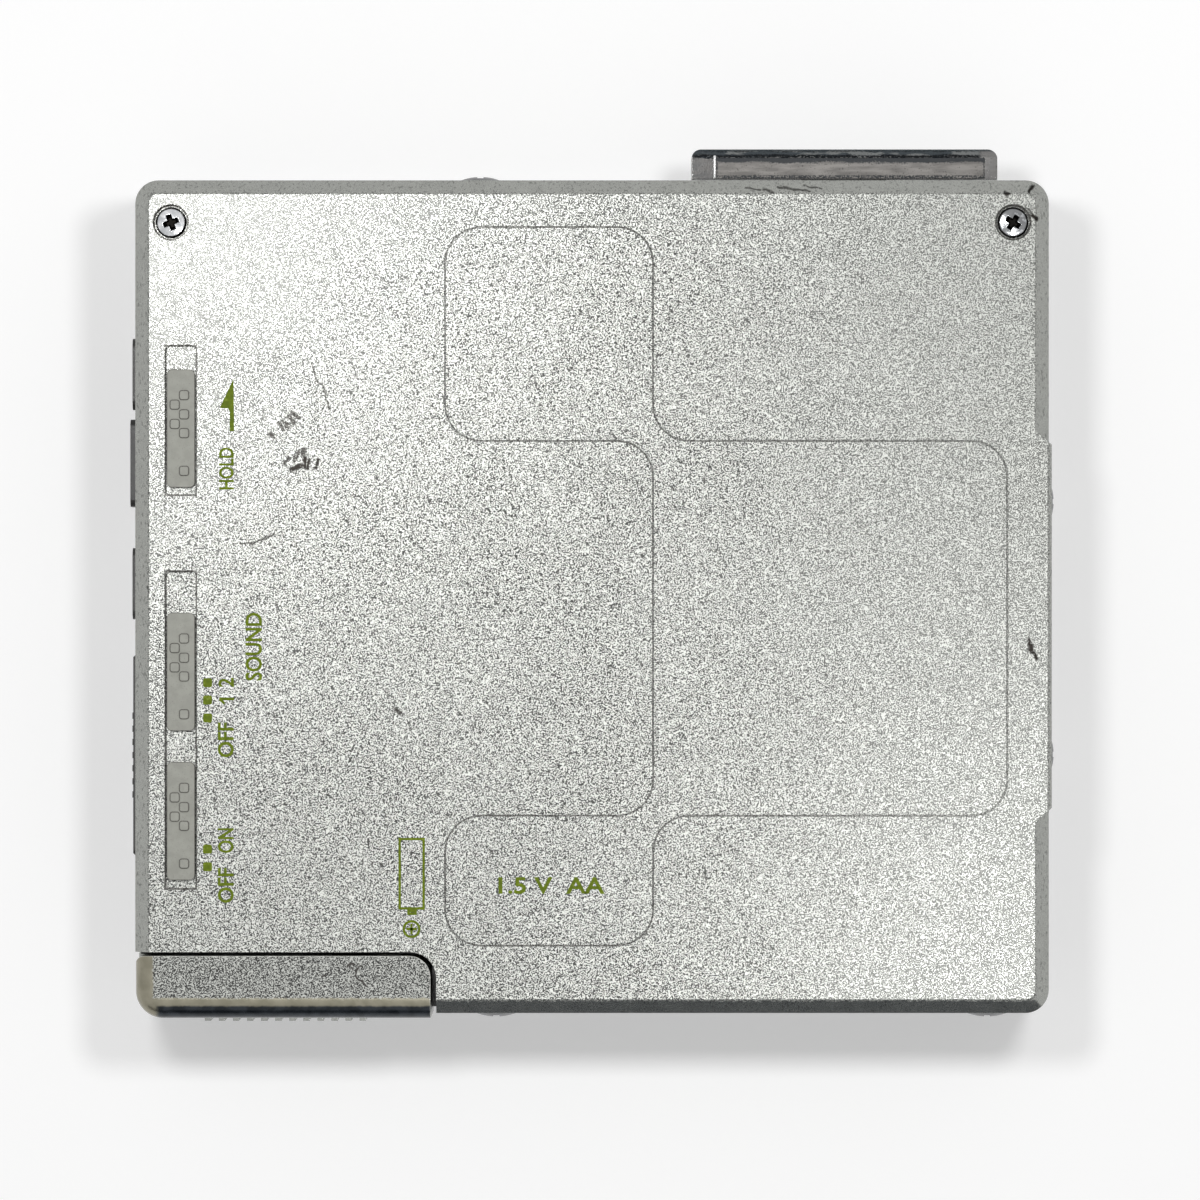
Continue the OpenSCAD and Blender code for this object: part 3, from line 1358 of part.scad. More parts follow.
// Objective lens
module objective_lens() color("lightblue")
    rod_z(lens_x, pickup_y, lens_z0, lens_z0 + lens_t, lens_r);

// Guide shafts of the sled
module main_guide_shaft() color("silver") rod_y(guide_x, shaft_z, -deck_y, shaft_y1, guide_r);
module sub_guide_shaft() color("silver") rod_y(sub_x, shaft_z, -deck_y, shaft_y1, sub_r);

// Lead screw that drives the sled
module lead_screw() color("goldenrod") rod_y(lead_x, lead_z, -deck_y, gear_y1, lead_r);

// Gear on the lead screw
module sled_gear() color("ivory") difference() {
    translate([lead_x, 0, lead_z]) drawn_y(gear_y0, gear_y1) gear_plan(gear_teeth);
    rod_y(lead_x, lead_z, gear_y0 - cut, gear_y1 + cut, lead_r + hold_play);
}

// Pinion on the sled motor's shaft
module sled_pinion() color("ivory") {
    translate([pinion_x, 0, lead_z]) drawn_y(gear_y0, gear_y1)
        rotate(180 / pinion_teeth) gear_plan(pinion_teeth);
    rod_y(pinion_x, lead_z, gear_y1 - bite, sled_motor_y0 + pinion_shaft_in, pinion_shaft_r);
}

// Sled motor in its cradle
module sled_motor() color("silver") difference() {
    rod_y(pinion_x, lead_z, sled_motor_y0, sled_motor_y1, sled_motor_r);
    rod_y(pinion_x, lead_z, sled_motor_y0 - cut, sled_motor_y0 + pinion_shaft_in + pass_play,
        pinion_shaft_r + turn_play);
}

lid();
disc_holder();
disc_springs();
holder_screws();
lid_catch();
hinge_pins();
side_frame();
bottom_cover();
case_screws();
side_screws();
hinge_bracket();
hinge_screws();
open_slider();
latch_bar();
battery_door();
battery_door_pin();
positive_contact();
battery_tube();
negative_spring();
headphone_jack();
volume_up_key();
volume_down_key();
volume_switches();
hold_slider();
sound_slider();
limiter_slider();
slide_switches();
switch_board();
control_bar();
control_carriage();
control_board();
control_switches();
main_board();
board_chips();
board_screws();
drive_chassis();
chassis_dampers();
chassis_screws();
motor_cup();
motor_coils();
turntable();
rotor_magnet();
pickup_sled();
lens_actuator();
objective_lens();
main_guide_shaft();
sub_guide_shaft();
lead_screw();
sled_gear();
sled_pinion();
sled_motor();
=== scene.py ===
"""Portable minidisc player lying on its lid: the finishes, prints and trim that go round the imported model,
with the studio light and the camera."""
import json
import math

import bmesh
import bpy
from mathutils import Matrix, Vector

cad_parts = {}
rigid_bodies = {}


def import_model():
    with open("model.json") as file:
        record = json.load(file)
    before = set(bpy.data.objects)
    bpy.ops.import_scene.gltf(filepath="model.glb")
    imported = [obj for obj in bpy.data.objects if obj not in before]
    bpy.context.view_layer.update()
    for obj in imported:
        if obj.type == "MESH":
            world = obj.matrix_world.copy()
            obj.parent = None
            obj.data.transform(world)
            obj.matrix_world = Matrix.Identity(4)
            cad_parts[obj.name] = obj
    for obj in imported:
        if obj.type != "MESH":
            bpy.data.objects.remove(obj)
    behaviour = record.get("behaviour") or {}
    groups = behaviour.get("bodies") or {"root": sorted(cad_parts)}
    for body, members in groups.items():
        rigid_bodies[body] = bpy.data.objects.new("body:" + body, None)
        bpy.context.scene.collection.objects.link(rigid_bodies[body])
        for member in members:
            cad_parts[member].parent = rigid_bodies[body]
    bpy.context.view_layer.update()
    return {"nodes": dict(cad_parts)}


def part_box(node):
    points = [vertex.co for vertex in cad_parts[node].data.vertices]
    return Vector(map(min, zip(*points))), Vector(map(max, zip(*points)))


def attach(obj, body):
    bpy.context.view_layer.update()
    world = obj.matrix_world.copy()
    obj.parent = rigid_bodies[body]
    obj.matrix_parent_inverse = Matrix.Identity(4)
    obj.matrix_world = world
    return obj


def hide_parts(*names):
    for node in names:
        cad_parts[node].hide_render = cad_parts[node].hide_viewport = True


for left_over in list(bpy.data.objects):
    bpy.data.objects.remove(left_over)
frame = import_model()

# Bottom cover: the shell whose plate is the player's underside. It is pressed from thin sheet and sprayed
# with a silver paint that dries into a fine sand grain on the plate and stays smooth on bevel and walls.
# Sizes here and below are in millimetres.
MM = 0.001
COVER_LOW, COVER_HIGH = (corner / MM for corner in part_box("bottom_cover"))
CASE_HALF = (-COVER_LOW.x, COVER_HIGH.y)
PLATE_TOP = COVER_HIGH.z
BEVEL_WIDTH = 1.35
GRAIN_SIZE = 0.115
GRAIN_START = (BEVEL_WIDTH + 0.08, BEVEL_WIDTH + 0.32)
# Spans of the painted dim light at the right and the painted highlight at the upper left of the grain.
DIM_SIDE_SPAN = (6, 44)
HIGHLIGHT_CORNER = (38, 82)
NICKED_HEIGHTS = (PLATE_TOP - 1.5, PLATE_TOP - 1.2)
GROOVE_FLOOR = (PLATE_TOP - 0.3, PLATE_TOP - 0.25)
GROOVE_RIM = (PLATE_TOP - 0.03, PLATE_TOP - 0.01)
GROOVES_START = (BEVEL_WIDTH + 0.4, BEVEL_WIDTH + 0.6)
FLANGE_MIDDLE, FLANGE_HALF, FLANGE_FADE = -2.8, 18.6, 1.5
FLANGE_STEP = 1.3
SCREW_SINKS = [(-39.6, 35.2), (39.6, 35.2)]
SINK_R, SINK_LINE = 1.62, (0.06, 0.14)
CHANNELS = [(-40.105, -37.215, 9.55, 23.61), (-40.105, -37.215, -27.47, 2.4)]
CHANNEL_SHADE_WIDTH = 0.13
BLACK_SCUFFS = [(-27.06, 12.94, -26.9, 12.2), (-26.6, 12.8, -26.66, 11.97), (-25.7, 12.95, -26.08, 12.04),
                (-28.2, 11.95, -27.06, 12.42), (41.15, -4.1, 41.3, -5.2), (41.3, -4.9, 41.85, -5.9),
                (38.85, 38.05, 39.1, 37.75), (41.1, 38.2, 41.4, 38.65), (41.4, 35.75, 41.75, 35.55)]
GREY_SCUFFS = [(-27.44, 13.7, -28.04, 12.72), (-28.64, 12.94, -28.94, 12.42), (-27.0, 13.8, -27.1, 13.2),
               (-28.15, 17.3, -27.6, 16.75), (-28.5, 16.9, -28.0, 16.3), (-29.0, 16.5, -28.5, 15.95),
               (-29.4, 16.3, -29.0, 15.7), (-30.2, 15.3, -29.9, 15.0), (-18.5, -10.5, -18.0, -10.9)]
SCRATCHES = [(-26.46, 21.74, -25.1, 19.03), (-25.1, 19.03, -24.6, 17.6), (-33.2, 4.95, -31.4, 5.2),
             (-31.4, 5.2, -30.0, 5.85), (-41.75, 0.9, -41.6, 0.3), (14.4, 38.5, 17.2, 38.0),
             (17.4, 38.6, 20.4, 38.1), (20.0, 38.7, 21.6, 38.3), (40.9, 36.4, 41.5, 35.8)]


class Wire:
    """One socket of a finish. Sums, differences and products of wires add Math nodes to its tree."""

    def __init__(self, tree, socket=None):
        self.tree = tree
        self.socket = socket

    def node(self, kind, settings=None, sockets=None, outlet=0):
        """A new node: its settings first, then the values or links of its sockets."""
        made = self.tree.nodes.new("ShaderNode" + kind)
        for name, value in (settings or {}).items():
            setattr(made, name, value)
        for name, value in (sockets or {}).items():
            if isinstance(value, Wire):
                self.tree.links.new(value.socket, made.inputs[name])
            else:
                made.inputs[name].default_value = value
        return Wire(self.tree, made.outputs[outlet] if made.outputs else None)

    def maths(self, operation, first, second=0.0):
        return self.node("Math", {"operation": operation}, {0: first, 1: second})

    def __add__(self, other):
        return self.maths("ADD", self, other)

    def __sub__(self, other):
        return self.maths("SUBTRACT", self, other)

    def __rsub__(self, other):
        return self.maths("SUBTRACT", other, self)

    def __mul__(self, other):
        return self.maths("MULTIPLY", self, other)

    __radd__ = __add__
    __rmul__ = __mul__

    def most(self, other):
        return self.maths("MAXIMUM", self, other)

    def least(self, other):
        return self.maths("MINIMUM", self, other)

    def size(self):
        return self.maths("ABSOLUTE", self)

    def rise(self, low=0.3, high=0.7):
        """0 below low, 1 above high and a soft step between. Left out, the two span most of a noise."""
        return self.node("MapRange", {"interpolation_type": "SMOOTHSTEP"},
                         {"Value": self, "From Min": low, "From Max": high})

    def mix(self, none, full):
        """A colour that goes from none to full as this wire goes from 0 to 1."""
        return self.node("Mix", {"data_type": "RGBA"}, {0: self, 6: none, 7: full}, outlet=2)

    def vector(self, operation, other, outlet="Vector"):
        return self.node("VectorMath", {"operation": operation}, {0: self, 1: other}, outlet)

    def shift(self, step):
        return self.vector("ADD", step)

    def stretch(self, factors):
        return self.vector("MULTIPLY", factors)

    def dot(self, other):
        return self.vector("DOT_PRODUCT", other, "Value")

    def length(self):
        return self.node("VectorMath", {"operation": "LENGTH"}, {0: self}, "Value")

    def axis(self, index):
        return self.node("SeparateXYZ", {}, {0: self}, index)

    def noise(self, lump, detail=0, outlet=0):
        """Soft noise over this place, with lumps of about the given size."""
        return self.node("TexNoise", {}, {"Vector": self, "Scale": 1 / lump, "Detail": detail}, outlet)

    def jitter(self, lump, reach):
        """Small steps to and fro that change from lump to lump, along each axis as far as its reach."""
        return self.noise(lump, outlet="Color").shift([-0.5, -0.5, -0.5]).stretch(reach)


def grey(level, warmth=0.0):
    """A grey of that linear level, a little yellow where warmth is above 0 and a little blue below."""
    return (level * (1 + warmth), level, level * (1 - warmth), 1.0)


def silver(level):
    """The faintly green grey of silver paint, at that linear level."""
    return (level * 0.98, level, level * 0.94, 1.0)


def finish(name, recipe):
    """A finish whose shader sockets come from a recipe, a function of the place on the part."""
    material = bpy.data.materials.new(name)
    material.use_nodes = True
    tree = material.node_tree
    tree.nodes.clear()
    start = Wire(tree)
    metres = start.node("TexCoord", outlet="Object")
    place = start.node("VectorMath", {"operation": "SCALE"}, {0: metres, "Scale": 1 / MM})
    shader = start.node("BsdfPrincipled", {}, recipe(place))
    start.node("OutputMaterial", {}, {"Surface": shader})
    return material


def dented(place, height, depth, edge=0.08):
    """Normal of a surface with a height pattern of that depth, and slightly rounded edges."""
    rounded = place.node("Bevel", {"samples": 4}, {"Radius": edge * MM})
    return place.node("Bump", {}, {"Height": height, "Distance": depth * MM, "Normal": rounded})


def facing(place, index):
    """How far the surface faces along an axis of the part, from -1 to 1."""
    return place.node("TexCoord", outlet="Normal").axis(index)


def stroke(place, start, end, width):
    """Mask of a scratch between two points."""
    run = [b - a for a, b in zip(start, end)]
    away = place.shift([-a for a in start])
    share = place.node("Clamp", {}, {"Value": away.dot(run) * (1 / sum(step * step for step in run))})
    back = place.node("VectorMath", {"operation": "SCALE"}, {0: [-step for step in run], "Scale": share})
    return 1 - away.shift(back).length().rise(width * 0.25, width)


def strokes(place, lines, width):
    """Mask of several scratches, each from x, y to x, y as seen from above."""
    shaken = place.stretch([1, 1, 0]).shift(place.jitter(0.7, [0.5, 0.5, 0]))
    total = None
    for x0, y0, x1, y1 in lines:
        mask = stroke(shaken, (x0, y0, 0), (x1, y1, 0), width)
        total = mask if total is None else total.most(mask)
    return total


def sand_grain(place):
    """Height of the grain, worm-like crests and hollows of about even width."""
    warped = place.shift(place.jitter(0.5, [0.25, 0.25, 0.25]))
    return warped.noise(GRAIN_SIZE, detail=0.6).rise(0.41, 0.59)


def box_line(place, box, width):
    """Mask of a line along the outline of a box in plan."""
    x0, x1, y0, y1 = box
    away_x = (place.axis(0) - (x0 + x1) / 2).size() - (x1 - x0) / 2
    away_y = (place.axis(1) - (y0 + y1) / 2).size() - (y1 - y0) / 2
    return 1 - away_x.most(away_y).size().rise(width * 0.5, width)


FLAKES = silver(0.37), silver(0.48)
RUBBED_PAINT, NICKED_PAINT, WEAR_AND_SHADE_PAINT = silver(0.15), silver(0.12), grey(0.018, 0.12)
# Grain colours: plain, where the grain is painted dim at the right, and where it is painted highlit at the
# upper left.
HOLLOWS, DIM_SIDE_HOLLOW, HIGHLIGHT_HOLLOW = (silver(0.03), silver(0.055)), silver(0.13), silver(0.125)
CREST, DIM_SIDE_CREST, HIGHLIGHT_CREST = silver(0.53), silver(0.49), silver(0.42)


def smooth_silver(place):
    """Colour of the smooth silver paint: fine flakes, a little haze and faint long rubs."""
    flake = place.noise(lump=0.09, detail=1) * 0.75 + place.noise(lump=1.4, detail=3) * 0.25
    rubs = place.stretch([0.12, 0.12, 1]).noise(lump=0.25, detail=2).rise(0.66, 0.74)
    return (rubs * 0.2).mix(flake.rise(0.32, 0.68).mix(*FLAKES), RUBBED_PAINT)


def grained_paint(place):
    """Grain on the level plate, smooth paint round it, then scuffs, darkened groove floors and screw sink
    rims, painted shade round the switch channels, a painted highlight at the upper left and painted dim light
    at the right.
    """
    x, y, z = (place.axis(k) for k in range(3))
    level = facing(place, 2).rise(0.5, 0.65)
    along_flange = (y - FLANGE_MIDDLE).size().rise(FLANGE_HALF - FLANGE_FADE, FLANGE_HALF)
    reach = CASE_HALF[0] + (1 - along_flange) * x.rise(0, 1) * FLANGE_STEP
    edge_gap = (reach - x.size()).least(CASE_HALF[1] - y.size())
    grained = (edge_gap + place.noise(lump=0.35, detail=2) * 0.6).rise(*GRAIN_START) * level
    crest = sand_grain(place)
    patchy = place.noise(lump=9, detail=2)
    # Painted dim light: toward the right the grain's contrast is painted lower, as where less lamp light
    # falls; the groove lines there are painted fainter too.
    painted_dim_side = (x + patchy * 12).rise(*DIM_SIDE_SPAN)
    # Painted highlight: toward the upper left the hollows are painted lighter and the crests darker, as a
    # lamp's highlight washes the grain out.
    painted_highlight_corner = (y - x + patchy * 10).rise(*HIGHLIGHT_CORNER)
    hollow_paint = painted_highlight_corner.mix(painted_dim_side.mix(patchy.rise(0.35, 0.65).mix(*HOLLOWS), DIM_SIDE_HOLLOW), HIGHLIGHT_HOLLOW)
    crest_paint = painted_highlight_corner.mix(painted_dim_side.mix(CREST, DIM_SIDE_CREST), HIGHLIGHT_CREST)
    grain_paint = crest.mix(hollow_paint, crest_paint)
    nicked = place.stretch([1, 0.5, 1]).noise(lump=0.22, detail=2).rise(0.56, 0.68) * z.rise(*NICKED_HEIGHTS)
    smooth_paint = (nicked * 0.5).mix(smooth_silver(place), NICKED_PAINT)
    paint = grained.mix(smooth_paint, grain_paint)
    dirt = place.noise(lump=0.22, detail=1).rise(0.22, 0.44)
    faint = (strokes(place, GREY_SCUFFS, width=0.34) * 0.9).most(strokes(place, SCRATCHES, width=0.15) * 0.8)
    dark_marks = (faint * dirt).most(strokes(place, BLACK_SCUFFS, width=0.3) * (dirt * 0.35 + 0.65))
    engraved = z.rise(*GROOVE_FLOOR) * (1 - z.rise(*GROOVE_RIM)) * edge_gap.rise(*GROOVES_START)
    dark_marks = dark_marks.most(engraved * (0.68 - painted_dim_side * 0.2))
    # Painted shade: a dark line round each switch channel, where the gap beside the cap lies in shadow.
    for channel in CHANNELS:
        dark_marks = dark_marks.most(box_line(place, channel, CHANNEL_SHADE_WIDTH) * level * 0.8)
    for sink_x, sink_y in SCREW_SINKS:
        away = place.shift([-sink_x, -sink_y, 0]).stretch([1, 1, 0]).length()
        dark_marks = dark_marks.most((1 - (away - SINK_R).size().rise(*SINK_LINE)) * 0.85)
    haze = place.noise(lump=1.4, detail=3)
    return {"Base Color": dark_marks.mix(paint, WEAR_AND_SHADE_PAINT), "Metallic": (0.88 - grained * 0.33).most(dark_marks),
            "Roughness": grained * 0.13 + haze * 0.06 + 0.13,
            "Normal": dented(place, crest * grained + haze * 0.05, depth=0.0085)}


def dress(material, *names):
    """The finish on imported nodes."""
    for name in names:
        part = frame["nodes"][name]
        part.data.materials.clear()
        part.data.materials.append(material)


dress(finish("grained_paint", grained_paint), "bottom_cover")

# Prints: olive ink stamped on the plate through a screen, about a hundredth of a millimetre thick. They mark
# the three slide switches and the way round that the cell goes in.
INK_LOW, INK_HIGH = PLATE_TOP + 0.004, PLATE_TOP + 0.016
INK_LINE = 0.24
LETTER_SWELL, LETTER_DEPTH, LETTER_STEPS = 0.025, 0.05, 3
INK, THIN_INK = ((0.1, 0.145, 0.004, 1.0), (0.15, 0.21, 0.006, 1.0)), (0.24, 0.31, 0.05, 1.0)
WORDS = {"hold": ("HOLD", (-35.08, 10.07), (-33.66, 14.03)),
         "sound_off": ("OFF", (-35.2, -15.11), (-33.66, -11.81)),
         "sound_two": ("2", (-35.14, -8.5), (-33.66, -7.62)),
         "limit_off": ("OFF", (-35.2, -28.8), (-33.66, -25.5)),
         "limit_on": ("ON", (-35.2, -24.1), (-33.66, -21.75)),
         "sound": ("SOUND", (-32.6, -7.9), (-31.0, -1.5))}
VOLTS = ("1.5 V  AA", (-8.8, -27.95), (1.2, -26.35))
ONE = [(-35.05, -9.47), (-35.05, -9.75), (-34.62, -10.16), (-34.44, -9.98), (-34.68, -9.75), (-33.65, -9.75),
       (-33.65, -9.47)]
DOT_X, DOT_HALF, DOT_CORNER = -36.14, 0.43, 0.2
DOT_YS = [-8.08, -9.71, -11.4, -23.72, -25.38]
ARROW = [(-33.7, 20.49), (-34.99, 17.74), (-34.23, 17.7), (-34.06, 17.42), (-34.06, 15.57), (-33.64, 15.57)]
CELL = (-18.2, -15.71, -29.42, -22.66)
NUB = (-17.38, -16.46, -29.92, -29.42)
PLUS_X, PLUS_Y, PLUS_R, PLUS_ARM = -16.97, -31.24, 0.85, 0.5


def olive_ink(place):
    patchy = place.noise(lump=0.35, detail=2)
    thin = patchy.rise(0.62, 0.72)
    return {"Base Color": (thin * 0.6).mix(patchy.rise().mix(*INK), THIN_INK),
            "Roughness": patchy * 0.2 + 0.5, "Specular IOR Level": 0.2,
            "Normal": dented(place, patchy, depth=0.004, edge=0.01)}


ink = finish("olive_ink", olive_ink)


def piece(name, body, material, mesh):
    """A new piece of the player that rides on a body."""
    made = bpy.data.objects.new(name, mesh)
    bpy.context.scene.collection.objects.link(made)
    mesh.materials.clear()
    mesh.materials.append(material)
    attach(made, body)
    return made


def stamp(label, mesh):
    """A print on the cover."""
    piece(f"print_{label}", "case", ink, mesh)


def stock(name, fill):
    """Closed mesh from a function that fills a bmesh."""
    work = bmesh.new()
    fill(work)
    bmesh.ops.recalc_face_normals(work, faces=work.faces)
    mesh = bpy.data.meshes.new(name)
    work.to_mesh(mesh)
    work.free()
    return mesh


def ring_of(work, outline, height):
    """Points of a flat outline at one height."""
    return [work.verts.new((x * MM, y * MM, height * MM)) for x, y in outline]


def join_rings(work, first, second):
    """Faces from one ring to another of as many points."""
    for k in range(len(first)):
        after = (k + 1) % len(first)
        work.faces.new((first[k], first[after], second[after], second[k]))


def prism(work, bottom, top):
    """Closed solid between two rings."""
    work.faces.new(top)
    work.faces.new(bottom[::-1])
    join_rings(work, bottom, top)


def sheet_mesh(name, outlines, low, high):
    """Thin plates from flat outlines. A pair of outlines makes a frame."""
    def fill(work):
        for outline in outlines:
            if isinstance(outline[0][0], tuple):
                outer_reflection, outer_top, inner, inner_top = (ring_of(work, ring, height)
                                                      for ring in outline for height in (low, high))
                join_rings(work, outer_reflection, outer_top)
                join_rings(work, inner_top, inner)
                join_rings(work, outer_top, inner_top)
                join_rings(work, inner, outer_reflection)
            else:
                prism(work, ring_of(work, outline, low), ring_of(work, outline, high))
    return stock(name, fill)


def word_mesh(text, low, high, turned=True):
    """Letters that fill a box given by its low and high corner, read upwards where turned."""
    letters = bpy.data.curves.new("letters", "FONT")
    letters.body = text
    letters.extrude = LETTER_DEPTH
    letters.offset = LETTER_SWELL
    letters.resolution_u = LETTER_STEPS
    carrier = bpy.data.objects.new("letters", letters)
    bpy.context.scene.collection.objects.link(carrier)
    mesh = bpy.data.meshes.new_from_object(carrier.evaluated_get(bpy.context.evaluated_depsgraph_get()))
    bpy.data.objects.remove(carrier)
    bpy.data.curves.remove(letters)
    if turned:
        mesh.transform(Matrix.Rotation(math.pi / 2, 4, "Z"))
    first = Vector(min(v.co[k] for v in mesh.vertices) for k in range(3))
    last = Vector(max(v.co[k] for v in mesh.vertices) for k in range(3))
    target_low, target_high = Vector((*low, INK_LOW)) * MM, Vector((*high, INK_HIGH)) * MM
    for vertex in mesh.vertices:
        for k in range(3):
            share = (vertex.co[k] - first[k]) / (last[k] - first[k])
            vertex.co[k] = target_low[k] + share * (target_high[k] - target_low[k])
    return mesh


def ring_points(x, y, radius, count=32):
    """Outline of a circle."""
    return [(x + radius * math.cos(2 * math.pi * k / count), y + radius * math.sin(2 * math.pi * k / count))
            for k in range(count)]


def frame_points(x0, x1, y0, y1):
    """Outline of a rectangle."""
    return [(x0, y0), (x1, y0), (x1, y1), (x0, y1)]


def drawn_box(x0, x1, y0, y1):
    """Outer and inner outline of a rectangle drawn in ink."""
    return (frame_points(x0, x1, y0, y1),
            frame_points(x0 + INK_LINE, x1 - INK_LINE, y0 + INK_LINE, y1 - INK_LINE))


def rounded_square(x, y, half, corner, steps=4):
    """Outline of a square with round corners."""
    points = []
    for turn in range(4):
        middle = math.pi / 4 + turn * math.pi / 2
        cx = x + math.copysign(half - corner, math.cos(middle))
        cy = y + math.copysign(half - corner, math.sin(middle))
        for k in range(steps + 1):
            angle = turn * math.pi / 2 + k * math.pi / 2 / steps
            points.append((cx + corner * math.cos(angle), cy + corner * math.sin(angle)))
    return points


for label, (text, low, high) in WORDS.items():
    stamp(label, word_mesh(text, low, high))
stamp("volts", word_mesh(*VOLTS, turned=False))
dots = [rounded_square(DOT_X, y, DOT_HALF, DOT_CORNER) for y in DOT_YS]
cell_sign = [drawn_box(*CELL), drawn_box(*NUB),
             (ring_points(PLUS_X, PLUS_Y, PLUS_R), ring_points(PLUS_X, PLUS_Y, PLUS_R - INK_LINE)),
             frame_points(PLUS_X - PLUS_ARM, PLUS_X + PLUS_ARM, PLUS_Y - INK_LINE / 2, PLUS_Y + INK_LINE / 2),
             frame_points(PLUS_X - INK_LINE / 2, PLUS_X + INK_LINE / 2, PLUS_Y - PLUS_ARM, PLUS_Y + PLUS_ARM)]
for label, outlines in (("sound_one", [ONE]), ("dots", dots), ("arrow", [ARROW]), ("cell", cell_sign)):
    stamp(label, sheet_mesh(f"print_{label}", outlines, INK_LOW, INK_HIGH))

# Screws: cross-head machine screws of zinc-plated steel. Two hold the cover, three the side walls, two the
# hinge, and the small ones inside hold the boards, the drive and the disc holder. The cover's two have domed
# heads, with painted shade in their crosses and a painted dark reflection on their lower right rims. The side
# and hinge screws get a darkened copy of the zinc, painted shade for screws that sit in shadow on the walls.
SCREW_LOW, SCREW_HIGH = (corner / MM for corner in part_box("case_screws"))
HEAD_R, SHANK_R = 1.45, 0.8
HEAD_TOP, HEAD_SEAT = SCREW_HIGH.z, SCREW_HIGH.z - 0.7
HEAD_RIM, HEAD_DOME, HEAD_SIDES = 0.3, 0.12, 64
HEAD_Y = SCREW_HIGH.y - HEAD_R
SCREW_SPOTS = [(SCREW_LOW.x + HEAD_R, HEAD_Y, 0.35), (SCREW_HIGH.x - HEAD_R, HEAD_Y, 1.0)]
CROSS_ARM, CROSS_HALF = 0.82, 0.28
CROSS_TAPER = ((HEAD_TOP - 0.6, 0.55), (HEAD_TOP + 0.1, 1.05))
CROSS_SHADE = (HEAD_TOP - 0.22, HEAD_TOP - 0.1)
SHARP_EDGE = math.radians(40)
ZINC, SHADED_ZINC = (grey(0.55, -0.05), grey(0.8, -0.02)), (grey(0.06, -0.04), grey(0.14, -0.03))
COVER_ZINC, SMEAR, SCREW_SHADE_AND_REFLECTION = (grey(0.6, -0.03), grey(0.85, -0.01)), grey(0.12, -0.03), grey(0.006, 0.1)


def zinc_plate(place):
    turned = place.noise(lump=0.5, detail=2)
    fine = place.noise(lump=0.06, detail=1)
    return {"Base Color": turned.rise(0.35, 0.7).mix(*ZINC), "Metallic": 1.0,
            "Roughness": turned * 0.12 + fine * 0.06 + 0.06,
            "Normal": dented(place, turned, depth=0.03, edge=0.1)}


def smeared_shaded_zinc(place):
    """Bright domed heads, painted black in the cross as painted shade and on the lower right rim as a painted
    dark reflection, the right-hand one smeared.
    """
    turned = place.noise(lump=0.6, detail=2)
    # Painted shade in the cross.
    sunk = 1 - (place.axis(2) + turned * 0.12).rise(*CROSS_SHADE)
    # Painted dark reflection on the rim that faces right and down.
    dark_side_reflection = ((facing(place, 0) - facing(place, 1)) * 0.7 + turned * 0.3).rise(0.42, 0.62)
    smeared = place.axis(0).rise(0, 1) * turned.rise(0.36, 0.5) * 0.75
    colour = smeared.mix(turned.rise().mix(*COVER_ZINC), SMEAR)
    return {"Base Color": sunk.most(dark_side_reflection).mix(colour, SCREW_SHADE_AND_REFLECTION), "Metallic": 1.0,
            "Roughness": turned * 0.1 + sunk * 0.3 + 0.1,
            "Normal": dented(place, turned, depth=0.03, edge=0.1)}


# A darkened copy of the zinc: painted shade for the side and hinge screws, which sit in shadow on the walls.
def shaded_zinc(place):
    turned = place.noise(lump=0.4, detail=2)
    return {"Base Color": turned.rise().mix(*SHADED_ZINC), "Metallic": 0.9, "Roughness": turned * 0.15 + 0.25,
            "Normal": dented(place, turned, depth=0.01, edge=0.06)}


def lathe(work, profile, sides, x, y):
    """Closed turned solid from a profile of radius and height, first and last radius 0."""
    rings = [ring_of(work, ring_points(x, y, radius, sides if radius else 1), height)
             for radius, height in profile]
    for lower, upper in zip(rings, rings[1:]):
        for k in range(sides):
            corners = [lower[k % len(lower)], lower[(k + 1) % len(lower)],
                       upper[(k + 1) % len(upper)], upper[k % len(upper)]]
            work.faces.new(list(dict.fromkeys(corners)))


def heads(work):
    """Both screws, each with a rounded rim and a slight dome."""
    profile = [(0, SCREW_LOW.z), (SHANK_R, SCREW_LOW.z), (SHANK_R, HEAD_SEAT), (HEAD_R, HEAD_SEAT)]
    flat_r = HEAD_R - HEAD_RIM
    for k in range(7):
        angle = k * math.pi / 12
        profile.append((flat_r + HEAD_RIM * math.cos(angle),
                        HEAD_TOP - HEAD_DOME - HEAD_RIM + HEAD_RIM * math.sin(angle)))
    for share in (0.75, 0.5, 0.25, 0.0):
        profile.append((flat_r * share, HEAD_TOP - HEAD_DOME * share * share))
    for x, y, _ in SCREW_SPOTS:
        lathe(work, profile, HEAD_SIDES, x, y)


def crosses(work):
    """The tapered crosses that are cut into the heads."""
    arm, half = CROSS_ARM, CROSS_HALF
    outline = [(arm, -half), (arm, half), (half, half), (half, arm), (-half, arm), (-half, half),
               (-arm, half), (-arm, -half), (-half, -half), (-half, -arm), (half, -arm), (half, -half)]
    for x, y, turn in SCREW_SPOTS:
        cos, sin = math.cos(turn), math.sin(turn)
        prism(work, *(ring_of(work, [(x + scale * (px * cos - py * sin), y + scale * (px * sin + py * cos))
                                     for px, py in outline], height) for height, scale in CROSS_TAPER))


def cut_mesh(name, body_mesh, cutter_mesh):
    """One mesh with another cut out of it."""
    body, cutter = (bpy.data.objects.new(name, mesh) for mesh in (body_mesh, cutter_mesh))
    for part in (body, cutter):
        bpy.context.scene.collection.objects.link(part)
    cut = body.modifiers.new("cut", "BOOLEAN")
    cut.operation = "DIFFERENCE"
    cut.object = cutter
    mesh = bpy.data.meshes.new_from_object(body.evaluated_get(bpy.context.evaluated_depsgraph_get()))
    for part in (body, cutter):
        bpy.data.objects.remove(part)
    return mesh


